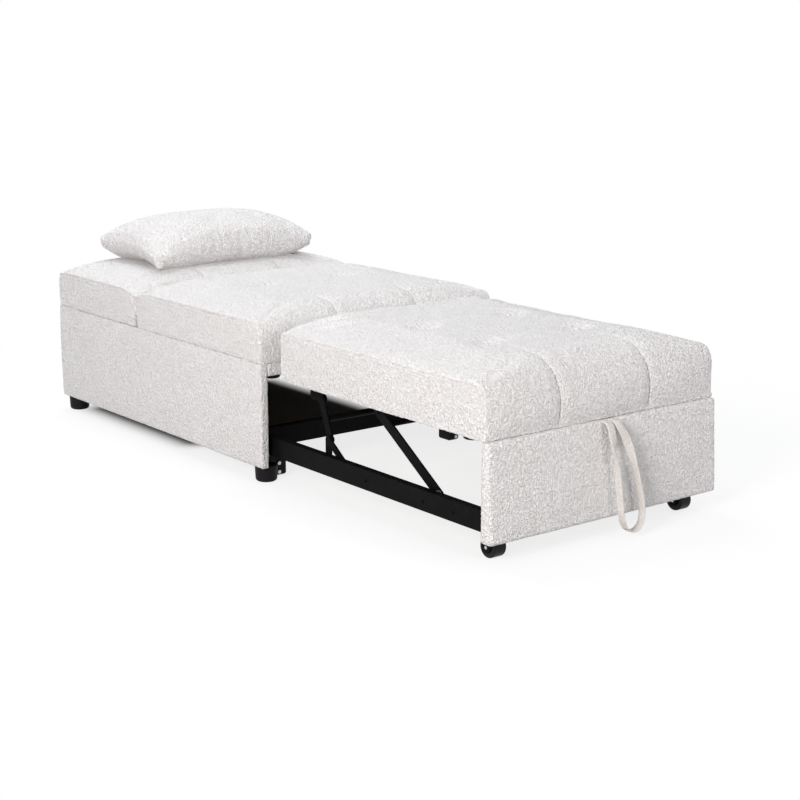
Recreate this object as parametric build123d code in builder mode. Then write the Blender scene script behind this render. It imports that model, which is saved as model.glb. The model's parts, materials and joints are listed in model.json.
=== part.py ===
from build123d import *
from math import asin, atan2, cos, degrees, pi, radians, sin, sqrt, tan
import os

# Chair bed, opened flat: an upholstered base with a hinged head section, and a drawer that
# carries a platform with its own cushion. Millimetres. +Z is up, +Y runs to the head end, and
# the origin is on the floor, midway between the two ends and the two sides.

# Whole object
base_width = 720
base_length = 1015
extended_reach = 790
leg_height = 40
seam_height = 294
panel_thickness = 20
cover_thickness = 4
cushion_gap = 0.3

# Base frame
front_rail_height = 31
front_rail_depth = 25
deck_thickness = 12
ledge_size = 20
lining_thickness = 1
edge_round = 5
seat_length = 590
deck_side_gap = 1

# Base cushions
base_side_height = 92
base_crown_rise = 28
cushion_corner = 16
side_draw = 4
base_crown_reach = 178
crease_half_gap = 5.5

# Crease hinges and the head section
pivot_height = 378
hinge_pin_radius = 3
pin_clearance = 0.05
barrel_radius = 5
leaf_thickness = 3
leaf_offset = 1
leaf_width = 70
leaf_inset = 120
knuckle_width = 20
knuckle_gap = 0.5
hinge_beam_depth = 34
leaf_flange = 36
backrest_side_gap = 2
backrest_rear_gap = 7
ratchet_radius = 4.8
ratchet_tooth_depth = 0.8
ratchet_width = 6
ratchet_teeth = 12

# Pillow
pillow_width = 500
pillow_depth = 312
pillow_height = 118
pillow_seam_height = 50
pillow_corner = 22
pillow_x = 11
pillow_setback = 187.5

# Legs, guide feet and runners
leg_radius = 28
leg_foot_radius = 26
leg_round = 8
leg_inset = 34
foot_leg_gap = 8
foot_width = 32
foot_length = 42
foot_setback = 50
foot_height = 62
foot_round = 7
foot_strip_thickness = 7
foot_strip_gap = 0.3
foot_strip_height = 15
guide_roller_radius = 12
guide_roller_width = 14
guide_axle_end = 2
guide_axle_radius = 4
roller_side_gap = 0.5
roller_gap = 0.3
guide_bolt_radius = 5
guide_bolt_head = 4
guide_bolt_spacing = 22
guide_bolt_height = 10
runner_height = 12
runner_width = 12
runner_end_gap = 24

# Drawer
pull_side_gap = 3
pull_panel_bottom = 46
pull_panel_top = 261
pull_panel_thickness = 18
pull_panel_skin = 2
rail_bottom = 66
rail_height = 46
rail_width = 20
rail_wall = 2
rail_side_gap = 13
rail_rear_overlap = 105
crossbar_depth = 25
caster_radius = 24
caster_width = 34
caster_inset = 58
caster_rear_gap = 3
caster_axle_radius = 4
caster_plate = 4
caster_ear = 3
caster_side_gap = 1
caster_ear_width = 26
caster_tread_round = 4
rail_bolt_radius = 4
rail_bolt_head = 2
rail_bolt_offsets = (105, 206, 410)
rail_bolt_height = 20
rail_roller_radius = 13
rail_roller_width = 8
rail_roller_inset = 14
rail_roller_axle_radius = 3

# Lifting arms
arm_length = 262
hanger_drop = 15.63
arm_width = 24
arm_thickness = 5
arm_pivot_height = 101
arm_pivot_setback = 198.5
arm_side_gap = 6
arm_hole_radius = 5
arm_boss_radius = 12
arm_head_radius = 8
arm_head_thickness = 2.3
arm_head_gap = 0.2
arm_tube_radius = 7
arm_tube_setback = 44
rear_arm_rise = 90
rear_arm_run = 35.2
rear_arm_width = 20
rear_hanger_drop = 29
rear_pivot_setback = 595.5
bracket_thickness = 5
bracket_leg_run = 77
bracket_foot_height = 22
bracket_strut_width = 16

# Platform
platform_gap = 45
pull_front_setback = 9
pull_cushion_bottom = 262
pull_side_height = 42
pull_crown_rise = 28
pull_front_round = 16
pull_front_edge = 1
skirt_thickness = 4
platform_board_thickness = 16
platform_board_height = 63
platform_deck_thickness = 10
batten_depth = 30
batten_height = 40
hanger_thickness = 4
hanger_width = 20
hanger_side_gap = 2
front_batten_offset = 130
rear_batten_offset = 42
pull_crown_reach = 230

# Tufts and darts
tuft_radius = 40
tuft_depth = 11
dart_width = 5
dart_depth = 3
pull_tuft_spread = 132
pull_tuft_rows = (225, 445)
seat_tuft_spread = 122
seat_tuft_setback = 330
pull_dart_length = 128
seat_dart_length = 114
head_dart_length = 75

# Cutting tools overrun the piece by this much
overrun = 5

# Levels and ends worked out from the sizes above
half_width = base_width / 2
front_y = -(base_length + extended_reach) / 2
rear_y = front_y + base_length + extended_reach
base_front_y = rear_y - base_length
inner_x = half_width - panel_thickness
board_bottom = leg_height + cover_thickness
deck_bottom = seam_height - deck_thickness
ledge_bottom = deck_bottom - ledge_size
crease_y = base_front_y + seat_length
deck_rear_y = crease_y - leaf_offset - leaf_thickness
cushion_bottom = seam_height + cushion_gap
back_inner_y = rear_y - panel_thickness
front_rail_back_y = base_front_y + front_rail_depth
lining_x = inner_x - lining_thickness
leaf_position = half_width - leaf_inset
foot_outer_x = half_width - leg_inset - leg_radius - foot_leg_gap
pillow_y = rear_y - pillow_setback
pull_half_width = inner_x - pull_side_gap
caster_x = pull_half_width - caster_inset
panel_back_y = front_y + pull_panel_thickness
rail_outer_x = lining_x - rail_side_gap
rail_inner_x = rail_outer_x - rail_width
rail_top = rail_bottom + rail_height
rail_rear_y = base_front_y + rail_rear_overlap
arm_pivot_y = front_y + arm_pivot_setback
arm_top_height = pull_cushion_bottom - hanger_drop
arm_angle = degrees(asin((arm_top_height - arm_pivot_height) / arm_length))
arm_top_y = arm_pivot_y + arm_length * cos(radians(arm_angle))
rear_pivot_y = front_y + rear_pivot_setback
rear_top_y = rear_pivot_y + rear_arm_run
rear_top_height = pull_cushion_bottom - rear_hanger_drop
rear_pivot_height = rear_top_height - rear_arm_rise
arm_outer_x = rail_inner_x - arm_side_gap
arm_inner_x = arm_outer_x - arm_thickness
hanger_outer_x = arm_inner_x - hanger_side_gap
hanger_inner_x = hanger_outer_x - hanger_thickness
pull_front_y = front_y + pull_front_setback
pull_rear_y = base_front_y - platform_gap
platform_front_y = pull_front_y + pull_front_round
platform_rear_y = pull_rear_y - skirt_thickness
platform_board_top = pull_cushion_bottom + platform_board_height
platform_deck_top = platform_board_top + platform_deck_thickness
pull_foam_bottom = platform_deck_top + cushion_gap
platform_outer_x = pull_half_width - skirt_thickness

sides = {"left": -1, "right": 1}


def block(x_span, y_span, z_span, mode=Mode.ADD):
    """A box between two values along each axis, in the part that is being built."""
    with BuildSketch(Plane.XY.offset(min(z_span))) as base:
        with Locations((sum(x_span) / 2, sum(y_span) / 2)):
            Rectangle(abs(x_span[1] - x_span[0]), abs(y_span[1] - y_span[0]))
    extrude(base.sketch, amount=abs(z_span[1] - z_span[0]), mode=mode)


def rod(x_span, y, z, radius, mode=Mode.ADD):
    """A round bar along X, in the part that is being built."""
    with BuildSketch(Plane.YZ.offset(min(x_span))) as end:
        with Locations((y, z)):
            Circle(radius)
    extrude(end.sketch, amount=abs(x_span[1] - x_span[0]), mode=mode)


def flat_bar(x_span, start, end, width):
    """A flat bar with round ends between two (y, z) points, in the part that is being built."""
    run = (Vector(*end) - Vector(*start)).length
    turn = degrees(atan2(end[1] - start[1], end[0] - start[0]))
    middle = (Vector(*start) + Vector(*end)) / 2
    with BuildSketch(Plane.YZ.offset(min(x_span))) as outline:
        with Locations(Location((middle.X, middle.Y, 0), (0, 0, turn))):
            SlotCenterToCenter(run, width)
    extrude(outline.sketch, amount=abs(x_span[1] - x_span[0]))


def save(piece, label):
    """Labels a finished piece and writes its file."""
    piece.part.label = label
    export_step(piece.part, f"parts/{label}.step")


# Base casing


def side_board(side):
    with BuildPart() as board:
        block(
            (side * inner_x, side * (half_width - cover_thickness)),
            (base_front_y + cover_thickness, rear_y - cover_thickness),
            (board_bottom, seam_height),
        )
    return board


def side_cover(side):
    with BuildPart() as cover:
        block((side * inner_x, side * half_width), (base_front_y, rear_y), (leg_height, seam_height))
        outer_edges = cover.edges().filter_by(Axis.Z).sort_by(Axis.X)
        fillet(outer_edges[:2] if side < 0 else outer_edges[-2:], edge_round)
        block(
            (side * (inner_x - overrun), side * (half_width - cover_thickness)),
            (base_front_y + cover_thickness, rear_y - cover_thickness),
            (board_bottom, seam_height + overrun),
            Mode.SUBTRACT,
        )
    return cover


def back_board():
    with BuildPart() as board:
        block((-inner_x, inner_x), (back_inner_y, rear_y - cover_thickness), (board_bottom, seam_height))
    return board


def back_cover():
    with BuildPart() as cover:
        block((-inner_x, inner_x), (back_inner_y, rear_y), (leg_height, seam_height))
        block(
            (-half_width, half_width),
            (back_inner_y - overrun, rear_y - cover_thickness),
            (board_bottom, seam_height + overrun),
            Mode.SUBTRACT,
        )
    return cover


def front_rail_board():
    with BuildPart() as board:
        block(
            (-inner_x, inner_x),
            (base_front_y + cover_thickness, front_rail_back_y),
            (seam_height - front_rail_height + cover_thickness, seam_height),
        )
    return board


def front_rail_cover():
    with BuildPart() as cover:
        block(
            (-inner_x, inner_x),
            (base_front_y, front_rail_back_y),
            (seam_height - front_rail_height, seam_height),
        )
        block(
            (-half_width, half_width),
            (base_front_y + cover_thickness, front_rail_back_y + overrun),
            (seam_height - front_rail_height + cover_thickness, seam_height + overrun),
            Mode.SUBTRACT,
        )
    return cover


def ledges():
    with BuildPart() as strips:
        for side in sides.values():
            block(
                (side * lining_x, side * (lining_x - ledge_size)),
                (front_rail_back_y, back_inner_y - lining_thickness),
                (ledge_bottom, deck_bottom),
            )
        block(
            (-(lining_x - ledge_size - deck_side_gap), lining_x - ledge_size - deck_side_gap),
            (back_inner_y - lining_thickness - ledge_size, back_inner_y - lining_thickness),
            (ledge_bottom, deck_bottom),
        )
    return strips


def hinge_beam():
    with BuildPart() as beam:
        block(
            (-(lining_x - ledge_size), lining_x - ledge_size),
            (deck_rear_y - hinge_beam_depth, deck_rear_y),
            (ledge_bottom, deck_bottom),
        )
    return beam


def seat_deck():
    with BuildPart() as deck:
        block(
            (-(inner_x - deck_side_gap), inner_x - deck_side_gap),
            (front_rail_back_y, deck_rear_y),
            (deck_bottom, seam_height),
        )
    return deck


def bay_lining():
    with BuildPart() as lining:
        block((-inner_x, inner_x), (front_rail_back_y, back_inner_y), (board_bottom, deck_bottom))
        block(
            (-lining_x, lining_x),
            (front_rail_back_y - overrun, back_inner_y - lining_thickness),
            (board_bottom - overrun, deck_bottom + overrun),
            Mode.SUBTRACT,
        )
    return lining


def legs(y):
    """A pair of tapered round legs with rounded soles."""
    with BuildPart() as pair:
        for side in sides.values():
            for height, radius in ((0, leg_foot_radius), (leg_height, leg_radius)):
                with BuildSketch(Plane.XY.offset(height)):
                    with Locations((side * (half_width - leg_inset), y)):
                        Circle(radius)
            loft()
        fillet(pair.edges().group_by(Axis.Z)[0], leg_round)
    return pair


# Guide feet, runners and rollers

foot_inner_x = foot_outer_x - foot_width
foot_front_y = base_front_y + foot_setback
foot_rear_y = foot_front_y + foot_length
guide_roller_y = (foot_front_y + foot_rear_y) / 2
guide_roller_z = rail_bottom - roller_gap - guide_roller_radius
guide_roller_x = (rail_inner_x + rail_outer_x) / 2
guide_bolt_x = foot_outer_x - foot_width / 3


def guide_feet():
    """Feet beside the front legs, each with a strip over the leg to the side board."""
    with BuildPart() as feet:
        for side in sides.values():
            block(
                (side * foot_inner_x, side * foot_outer_x), (foot_front_y, foot_rear_y), (0, foot_height)
            )
        fillet(feet.edges().group_by(Axis.Z)[0], foot_round)
        for side in sides.values():
            strip_bottom = leg_height + foot_strip_gap
            block(
                (side * (foot_outer_x - foot_round), side * lining_x),
                (foot_front_y, foot_front_y + foot_strip_thickness),
                (strip_bottom, strip_bottom + foot_strip_height),
            )
            rod(
                (side * foot_inner_x, side * foot_outer_x),
                guide_roller_y,
                guide_roller_z,
                guide_axle_radius,
                Mode.SUBTRACT,
            )
    return feet


def guide_axles():
    with BuildPart() as axles:
        for side in sides.values():
            end = guide_roller_x + guide_roller_width / 2 + guide_axle_end
            rod((side * foot_inner_x, side * end), guide_roller_y, guide_roller_z, guide_axle_radius)
    return axles


def guide_bolts():
    with BuildPart() as bolts:
        for side in sides.values():
            for step in (0, 1):
                with BuildSketch(Plane.XZ.offset(-foot_front_y)):
                    with Locations((side * guide_bolt_x, guide_bolt_height + step * guide_bolt_spacing)):
                        RegularPolygon(guide_bolt_radius, 6)
                extrude(amount=guide_bolt_head)
    return bolts


def roller(x_span, y, z, radius, bore, round_size):
    with BuildPart() as wheel:
        rod(x_span, y, z, radius)
        fillet(wheel.edges().filter_by(GeomType.CIRCLE), round_size)
        rod((x_span[0] - overrun, x_span[1] + overrun), y, z, bore, Mode.SUBTRACT)
    return wheel


def runners():
    """A flat bar along each side of the bay, with the rail rollers on its top."""
    with BuildPart() as bars:
        for side in sides.values():
            block(
                (side * (lining_x - runner_width), side * lining_x),
                (foot_rear_y, back_inner_y - runner_end_gap),
                (roller_floor - runner_height, roller_floor),
            )
    return bars


rail_roller_y = rail_rear_y - rail_roller_inset
rail_roller_z = rail_bottom + rail_roller_radius / 2
roller_floor = rail_roller_z - rail_roller_radius - roller_gap
rail_roller_x = rail_outer_x + roller_side_gap


# Cushions


crown_shares = (0, 0.1, 0.36, 1)


def crown_levels(seam, rise, reach, draw):
    """The crown's height over each inset, rising fast at the seam and flat on top."""
    return [(seam + rise * sqrt(1 - (1 - s) ** 2), draw + reach * s) for s in crown_shares]


def crown_reach(reach, length):
    """How far in a crown rises, limited by the pad's length as a fillet is by its wall."""
    return min(reach, length / 2 - cushion_corner - side_draw)


seat_crown_reach = crown_reach(base_crown_reach, seat_length - crease_half_gap)
head_crown_reach = crown_reach(base_crown_reach, rear_y - crease_y - crease_half_gap)
platform_crown_reach = crown_reach(pull_crown_reach, pull_rear_y - pull_front_y)


def padded_block(width, y_span, bottom, side_height, rise, reach):
    """A pad with sides that swell between the seams, and a crowned top."""
    length = y_span[1] - y_span[0]
    seam = bottom + side_height
    side_levels = ((bottom, side_draw), (bottom + side_height / 2, 0), (seam, side_draw))
    for levels in (side_levels, crown_levels(seam, rise, reach, side_draw)):
        outlines = []
        for height, inset in levels:
            with BuildSketch(Plane.XY.offset(height)) as outline:
                with Locations((0, sum(y_span) / 2)):
                    RectangleRounded(width - 2 * inset, length - 2 * inset, cushion_corner)
            outlines.append(outline.sketch)
        loft(outlines)


def tufts(places, top):
    """Sewn tufts pulled down into the top of the pad that is being built."""
    ball = (tuft_radius**2 + tuft_depth**2) / (2 * tuft_depth)
    with Locations([(x, y, top - tuft_depth + ball) for x, y in places]):
        Sphere(ball, mode=Mode.SUBTRACT)


def dart(x, front, length, seam, rise, reach, bottom):
    """A sewn channel from the top of a pad, over its front edge and down its front face."""
    crown = crown_levels(seam, rise, reach, side_draw)
    line = [(front + inset + dart_depth, height - dart_depth) for height, inset in crown]
    ridge = [(front + length, seam + rise - dart_depth)]
    inner = [point for point in line if point[0] < front + length]
    outer = (front - overrun, bottom)
    with BuildSketch(Plane.YZ.offset(x - dart_width / 2)) as channel:
        with BuildLine():
            Polyline(
                (outer[0], outer[1] - overrun),
                (line[0][0], outer[1] - overrun),
                *inner,
                *ridge,
                (ridge[0][0], seam + rise + overrun),
                (outer[0], seam + rise + overrun),
                close=True,
            )
        make_face()
    extrude(channel.sketch, amount=dart_width, mode=Mode.SUBTRACT)


def seat_cushion():
    with BuildPart() as cushion:
        y_span = (base_front_y, crease_y - crease_half_gap)
        padded_block(
            base_width, y_span, cushion_bottom, base_side_height, base_crown_rise, seat_crown_reach
        )
        seam = cushion_bottom + base_side_height
        tuft_y = base_front_y + seat_tuft_setback
        tufts([(side * seat_tuft_spread, tuft_y) for side in sides.values()], seam + base_crown_rise)
        for side in sides.values():
            dart(
                side * seat_tuft_spread,
                base_front_y,
                seat_dart_length,
                seam,
                base_crown_rise,
                seat_crown_reach,
                cushion_bottom,
            )
    return cushion


def head_cushion():
    with BuildPart() as cushion:
        y_span = (crease_y + crease_half_gap, rear_y)
        padded_block(
            base_width, y_span, cushion_bottom, base_side_height, base_crown_rise, head_crown_reach
        )
        for side in sides.values():
            dart(
                side * seat_tuft_spread,
                crease_y + crease_half_gap,
                head_dart_length,
                cushion_bottom + base_side_height,
                base_crown_rise,
                head_crown_reach,
                cushion_bottom,
            )
    return cushion


def pillow():
    with BuildPart() as cushion:
        bottom = cushion_bottom + base_side_height + base_crown_rise + cushion_gap
        seam = bottom + pillow_seam_height
        reach = pillow_depth / 3
        for rise in (-pillow_seam_height, pillow_height - pillow_seam_height):
            for height, inset in crown_levels(seam, rise, reach, 0):
                with BuildSketch(Plane.XY.offset(height)):
                    with Locations((pillow_x, pillow_y)):
                        RectangleRounded(
                            pillow_width - 2 * inset, pillow_depth - 2 * inset, pillow_corner
                        )
            loft()
    return cushion


# Crease hinges and the head section's board


def backrest_board():
    with BuildPart() as board:
        block(
            (-(inner_x - backrest_side_gap), inner_x - backrest_side_gap),
            (crease_y + leaf_offset + leaf_thickness, back_inner_y - backrest_rear_gap),
            (deck_bottom + cushion_gap, seam_height),
        )
    return board


def hinge_leaves(lower):
    """Both leaves of one half: the lower half stands on the base, the upper on the head board."""
    face = -leaf_offset if lower else leaf_offset
    back = face - leaf_thickness if lower else face + leaf_thickness
    foot = ledge_bottom if lower else deck_bottom + cushion_gap - leaf_thickness
    own = knuckle_width + knuckle_gap
    with BuildPart() as leaves:
        for side in sides.values():
            middle = side * leaf_position
            left, right = middle - leaf_width / 2, middle + leaf_width / 2
            block((left, right), (crease_y + face, crease_y + back), (foot, pivot_height))
            if not lower:
                block(
                    (left, right),
                    (crease_y + back, crease_y + leaf_flange),
                    (foot, foot + leaf_thickness),
                )
            ends = ((left - overrun, left + own), (right - own, right + overrun))
            centre = ((left + knuckle_width, right - knuckle_width),)
            for x_span in centre if lower else ends:
                block(
                    x_span,
                    (crease_y - barrel_radius, crease_y + barrel_radius),
                    (pivot_height - barrel_radius - knuckle_gap, pivot_height + overrun),
                    Mode.SUBTRACT,
                )
            barrels = ((left, left + knuckle_width), (right - knuckle_width, right))
            for x_span in barrels if lower else ((left + own, right - own),):
                rod(x_span, crease_y, pivot_height, barrel_radius)
            rod(
                (left - overrun, right + overrun),
                crease_y,
                pivot_height,
                hinge_pin_radius + pin_clearance,
                Mode.SUBTRACT,
            )
    return leaves


def hinge_pins():
    with BuildPart() as pins:
        for side in sides.values():
            reach = leaf_width / 2 + knuckle_gap + ratchet_width
            rod(
                (side * leaf_position - reach, side * leaf_position + reach),
                crease_y,
                pivot_height,
                hinge_pin_radius,
            )
    return pins


def ratchet_wheels():
    with BuildPart() as wheels:
        for side in sides.values():
            for end in sides.values():
                edge = side * leaf_position + end * (leaf_width / 2 + knuckle_gap)
                with BuildSketch(Plane.YZ.offset(min(edge, edge + end * ratchet_width))):
                    with Locations((crease_y, pivot_height)):
                        Circle(ratchet_radius)
                        with PolarLocations(ratchet_radius, ratchet_teeth):
                            Rectangle(2 * ratchet_tooth_depth, ratchet_tooth_depth, mode=Mode.SUBTRACT)
                        Circle(hinge_pin_radius + pin_clearance, mode=Mode.SUBTRACT)
                extrude(amount=ratchet_width)
    return wheels


# Drawer


def drawer_rail(side):
    with BuildPart() as rail:
        y_span = (panel_back_y, rail_rear_y)
        block((side * rail_inner_x, side * rail_outer_x), y_span, (rail_bottom, rail_top))
        block(
            (side * (rail_inner_x + rail_wall), side * (rail_outer_x - rail_wall)),
            (y_span[0] - overrun, y_span[1] + overrun),
            (rail_bottom + rail_wall, rail_top - rail_wall),
            Mode.SUBTRACT,
        )
    return rail


def crossbar(y_span):
    with BuildPart() as bar:
        block((-rail_inner_x, rail_inner_x), y_span, (rail_bottom, rail_top))
        block(
            (-rail_inner_x - overrun, rail_inner_x + overrun),
            (y_span[0] + rail_wall, y_span[1] - rail_wall),
            (rail_bottom + rail_wall, rail_top - rail_wall),
            Mode.SUBTRACT,
        )
    return bar


def panel_shape(skin, mode=Mode.ADD):
    """The pull-out's front panel with its full-round top, less a skin all round."""
    thickness = pull_panel_thickness - 2 * skin
    middle = front_y + pull_panel_thickness / 2
    straight_top = pull_panel_top - pull_panel_thickness / 2
    with BuildSketch(Plane.YZ.offset(-(pull_half_width - skin))) as profile:
        with Locations((middle, (pull_panel_bottom + skin + straight_top) / 2)):
            Rectangle(thickness, straight_top - pull_panel_bottom - skin)
        with Locations((middle, straight_top)):
            Circle(thickness / 2)
    extrude(profile.sketch, amount=2 * (pull_half_width - skin), mode=mode)


def front_board():
    with BuildPart() as board:
        panel_shape(pull_panel_skin)
    return board


def front_cover():
    with BuildPart() as cover:
        panel_shape(0)
        panel_shape(pull_panel_skin, Mode.SUBTRACT)
    return cover


caster_y = panel_back_y + caster_rear_gap + caster_radius
caster_ear_x = caster_width / 2 + caster_side_gap


def caster_brackets():
    with BuildPart() as brackets:
        for side in sides.values():
            reach = caster_ear_x + caster_ear
            block(
                (side * caster_x - reach, side * caster_x + reach),
                (panel_back_y, caster_y + caster_radius),
                (rail_bottom - caster_plate, rail_bottom),
            )
            for end in sides.values():
                x_span = (
                    side * caster_x + end * caster_ear_x,
                    side * caster_x + end * reach,
                )
                flat_bar(
                    x_span,
                    (caster_y, caster_radius),
                    (caster_y, rail_bottom - caster_plate - caster_ear_width / 2),
                    caster_ear_width,
                )
                block(
                    x_span,
                    (caster_y - caster_ear_width / 2, caster_y + caster_ear_width / 2),
                    (rail_bottom - caster_plate - caster_ear_width / 2, rail_bottom - caster_plate),
                )
            rod(
                (side * caster_x - reach, side * caster_x + reach),
                caster_y,
                caster_radius,
                caster_axle_radius,
                Mode.SUBTRACT,
            )
    return brackets


def caster_axles():
    with BuildPart() as axles:
        for side in sides.values():
            reach = caster_ear_x + caster_ear
            rod(
                (side * caster_x - reach, side * caster_x + reach),
                caster_y,
                caster_radius,
                caster_axle_radius,
            )
    return axles


def rail_roller_axles():
    with BuildPart() as axles:
        for side in sides.values():
            outer = rail_roller_x + rail_roller_width + roller_side_gap
            rod(
                (side * rail_outer_x, side * outer),
                rail_roller_y,
                rail_roller_z,
                rail_roller_axle_radius,
            )
    return axles


def rail_bolts():
    with BuildPart() as bolts:
        for side in sides.values():
            for offset_y in rail_bolt_offsets:
                rod(
                    (side * rail_outer_x, side * (rail_outer_x + rail_bolt_head)),
                    panel_back_y + offset_y,
                    rail_bottom + rail_bolt_height,
                    rail_bolt_radius,
                )
        fillet(bolts.edges().filter_by(GeomType.CIRCLE).group_by(Axis.X)[0], rail_bolt_head / 2)
        fillet(bolts.edges().filter_by(GeomType.CIRCLE).group_by(Axis.X)[-1], rail_bolt_head / 2)
    return bolts


def arm_pivot_pins():
    """The fixed pins on the drawer: a boss on each rail, a shank through the arm and a head."""
    with BuildPart() as pins:
        for side in sides.values():
            head_face = arm_inner_x - arm_head_gap
            places = (
                (arm_pivot_y, arm_pivot_height, rail_inner_x),
                (rear_pivot_y, rear_pivot_height, rail_inner_x - bracket_thickness),
            )
            for y, z, seat in places:
                boss = arm_outer_x + arm_head_gap
                if seat > boss + bracket_thickness / 2:
                    rod((side * boss, side * seat), y, z, arm_boss_radius)
                rod((side * head_face, side * seat), y, z, arm_hole_radius)
                rod((side * head_face, side * (head_face - arm_head_thickness)), y, z, arm_head_radius)
    return pins


def rear_pivot_brackets():
    with BuildPart() as brackets:
        foot_z = rail_bottom + bracket_foot_height
        for side in sides.values():
            x_span = (side * (rail_inner_x - bracket_thickness), side * rail_inner_x)
            top = (rear_pivot_y, rear_pivot_height)
            upright_foot = (rear_pivot_y, foot_z)
            strut_foot = (rear_pivot_y - bracket_leg_run, foot_z)
            flat_bar(x_span, upright_foot, top, rear_arm_width)
            flat_bar(x_span, strut_foot, top, bracket_strut_width)
            flat_bar(x_span, strut_foot, upright_foot, bracket_strut_width)
    return brackets


# The strap's centreline, chosen by hand: out of the seam, down in front of the panel and back
strap_tube_radius = 4
strap_route = (
    (-8, front_y, 255),
    (-8, front_y - 10, 255),
    (-7, front_y - 19, 245),
    (-4, front_y - 24, 221),
    (1, front_y - 27, 183),
    (6, front_y - 31, 138),
    (9, front_y - 35, 92),
    (11, front_y - 38, 54),
    (20, front_y - 39, 27),
    (38, front_y - 39, 14),
    (58, front_y - 39, 15),
    (73, front_y - 39, 30),
    (77, front_y - 37, 60),
    (70, front_y - 34, 104),
    (59, front_y - 30, 148),
    (46, front_y - 26, 190),
    (32, front_y - 23, 225),
    (19, front_y - 18, 244),
    (15, front_y - 10, 255),
    (15, front_y, 255),
)


arc_share = 0.45


def route_radii(points):
    """The arc at each point: a share of the shorter run over the tangent of half the turn."""
    line = [Vector(*point) for point in points]
    radii = []
    for before, corner, after in zip(line, line[1:], line[2:]):
        turn = (corner - before).get_angle(after - corner)
        shorter = min((corner - before).length, (after - corner).length)
        radii.append(arc_share * shorter / tan(radians(turn) / 2))
    return radii


def pull_strap():
    radii = route_radii(strap_route)
    with BuildPart() as strap:
        with BuildLine() as route:
            FilletPolyline(*strap_route, radius=radii)
        with BuildSketch(Plane(origin=strap_route[0], z_dir=route.wires()[0] % 0)):
            Circle(strap_tube_radius)
        sweep()
    section = strap.part.volume / (pi * strap_tube_radius**2)
    print("strap radii", [round(radius) for radius in radii])
    print("strap length", round(route.wires()[0].length), "volume over section", round(section))
    return strap


# Lifting arms


def front_arms():
    with BuildPart() as arms:
        for side in sides.values():
            x_span = (side * arm_inner_x, side * arm_outer_x)
            flat_bar(
                x_span, (arm_pivot_y, arm_pivot_height), (arm_top_y, arm_top_height), arm_width
            )
            for y, z in ((arm_pivot_y, arm_pivot_height), (arm_top_y, arm_top_height)):
                rod(x_span, y, z, arm_hole_radius + pin_clearance, Mode.SUBTRACT)
    return arms


def rear_arms():
    with BuildPart() as arms:
        for side in sides.values():
            x_span = (side * arm_inner_x, side * arm_outer_x)
            flat_bar(
                x_span,
                (rear_pivot_y, rear_pivot_height),
                (rear_top_y, rear_top_height),
                rear_arm_width,
            )
            rod(x_span, rear_pivot_y, rear_pivot_height, arm_hole_radius + pin_clearance, Mode.SUBTRACT)
            rod(x_span, rear_top_y, rear_top_height, arm_hole_radius, Mode.SUBTRACT)
    return arms


def rear_arm_pins():
    """The bolts at the open pivot, held in the rear arms beside the platform's hangers."""
    with BuildPart() as pins:
        for side in sides.values():
            reach = hanger_side_gap / 2
            x_span = (side * (arm_inner_x - reach), side * (arm_outer_x + reach))
            rod(x_span, rear_top_y, rear_top_height, arm_hole_radius)
    return pins


def cross_tube(y, z):
    with BuildPart() as tube:
        rod((-arm_inner_x, arm_inner_x), y, z, arm_tube_radius)
    return tube


arm_tube_distance = arm_length - arm_tube_setback
front_tube_y = arm_pivot_y + arm_tube_distance * cos(radians(arm_angle))
front_tube_z = arm_pivot_height + arm_tube_distance * sin(radians(arm_angle))
rear_tube_y = (rear_pivot_y + rear_top_y) / 2
rear_tube_z = (rear_pivot_height + rear_top_height) / 2


# Platform


def platform_side_boards():
    with BuildPart() as boards:
        for side in sides.values():
            block(
                (side * (platform_outer_x - platform_board_thickness), side * platform_outer_x),
                (platform_front_y, platform_rear_y),
                (pull_cushion_bottom, platform_board_top),
            )
    return boards


def platform_end_boards():
    with BuildPart() as boards:
        reach = platform_outer_x - platform_board_thickness
        for y_span in (
            (platform_front_y, platform_front_y + platform_board_thickness),
            (platform_rear_y - platform_board_thickness, platform_rear_y),
        ):
            block((-reach, reach), y_span, (pull_cushion_bottom, platform_board_top))
    return boards


def platform_deck():
    with BuildPart() as deck:
        block(
            (-platform_outer_x, platform_outer_x),
            (platform_front_y, platform_rear_y),
            (platform_board_top, platform_deck_top),
        )
    return deck


middle_batten_y = (arm_top_y - batten_depth / 2, arm_top_y + batten_depth / 2)
rear_batten_middle = rear_top_y + rear_batten_offset
rear_batten_y = (rear_batten_middle - batten_depth / 2, rear_batten_middle + batten_depth / 2)
front_batten_back = platform_front_y + front_batten_offset
front_batten_y = (front_batten_back - batten_depth, front_batten_back)


def platform_battens():
    with BuildPart() as battens:
        reach = platform_outer_x - platform_board_thickness
        for y_span in (front_batten_y, middle_batten_y, rear_batten_y):
            block((-reach, reach), y_span, (pull_cushion_bottom, pull_cushion_bottom + batten_height))
    return battens


def arm_hangers():
    """Plates under the battens that take the tops of the four arms."""
    with BuildPart() as hangers:
        for side in sides.values():
            x_span = (side * hanger_inner_x, side * hanger_outer_x)
            flat_bar(
                x_span,
                (arm_top_y, arm_top_height),
                (arm_top_y, pull_cushion_bottom - hanger_width / 2),
                hanger_width,
            )
            block(
                x_span,
                (arm_top_y - hanger_width / 2, arm_top_y + hanger_width / 2),
                (pull_cushion_bottom - hanger_width / 2, pull_cushion_bottom),
            )
            flat_bar(
                x_span,
                (rear_top_y, rear_top_height),
                (rear_batten_middle, rear_top_height),
                hanger_width,
            )
            block(
                x_span,
                (rear_batten_middle - hanger_width / 2, rear_batten_middle + hanger_width / 2),
                (rear_top_height, pull_cushion_bottom),
            )
            rod(x_span, arm_top_y, arm_top_height, arm_hole_radius, Mode.SUBTRACT)
    return hangers


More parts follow.
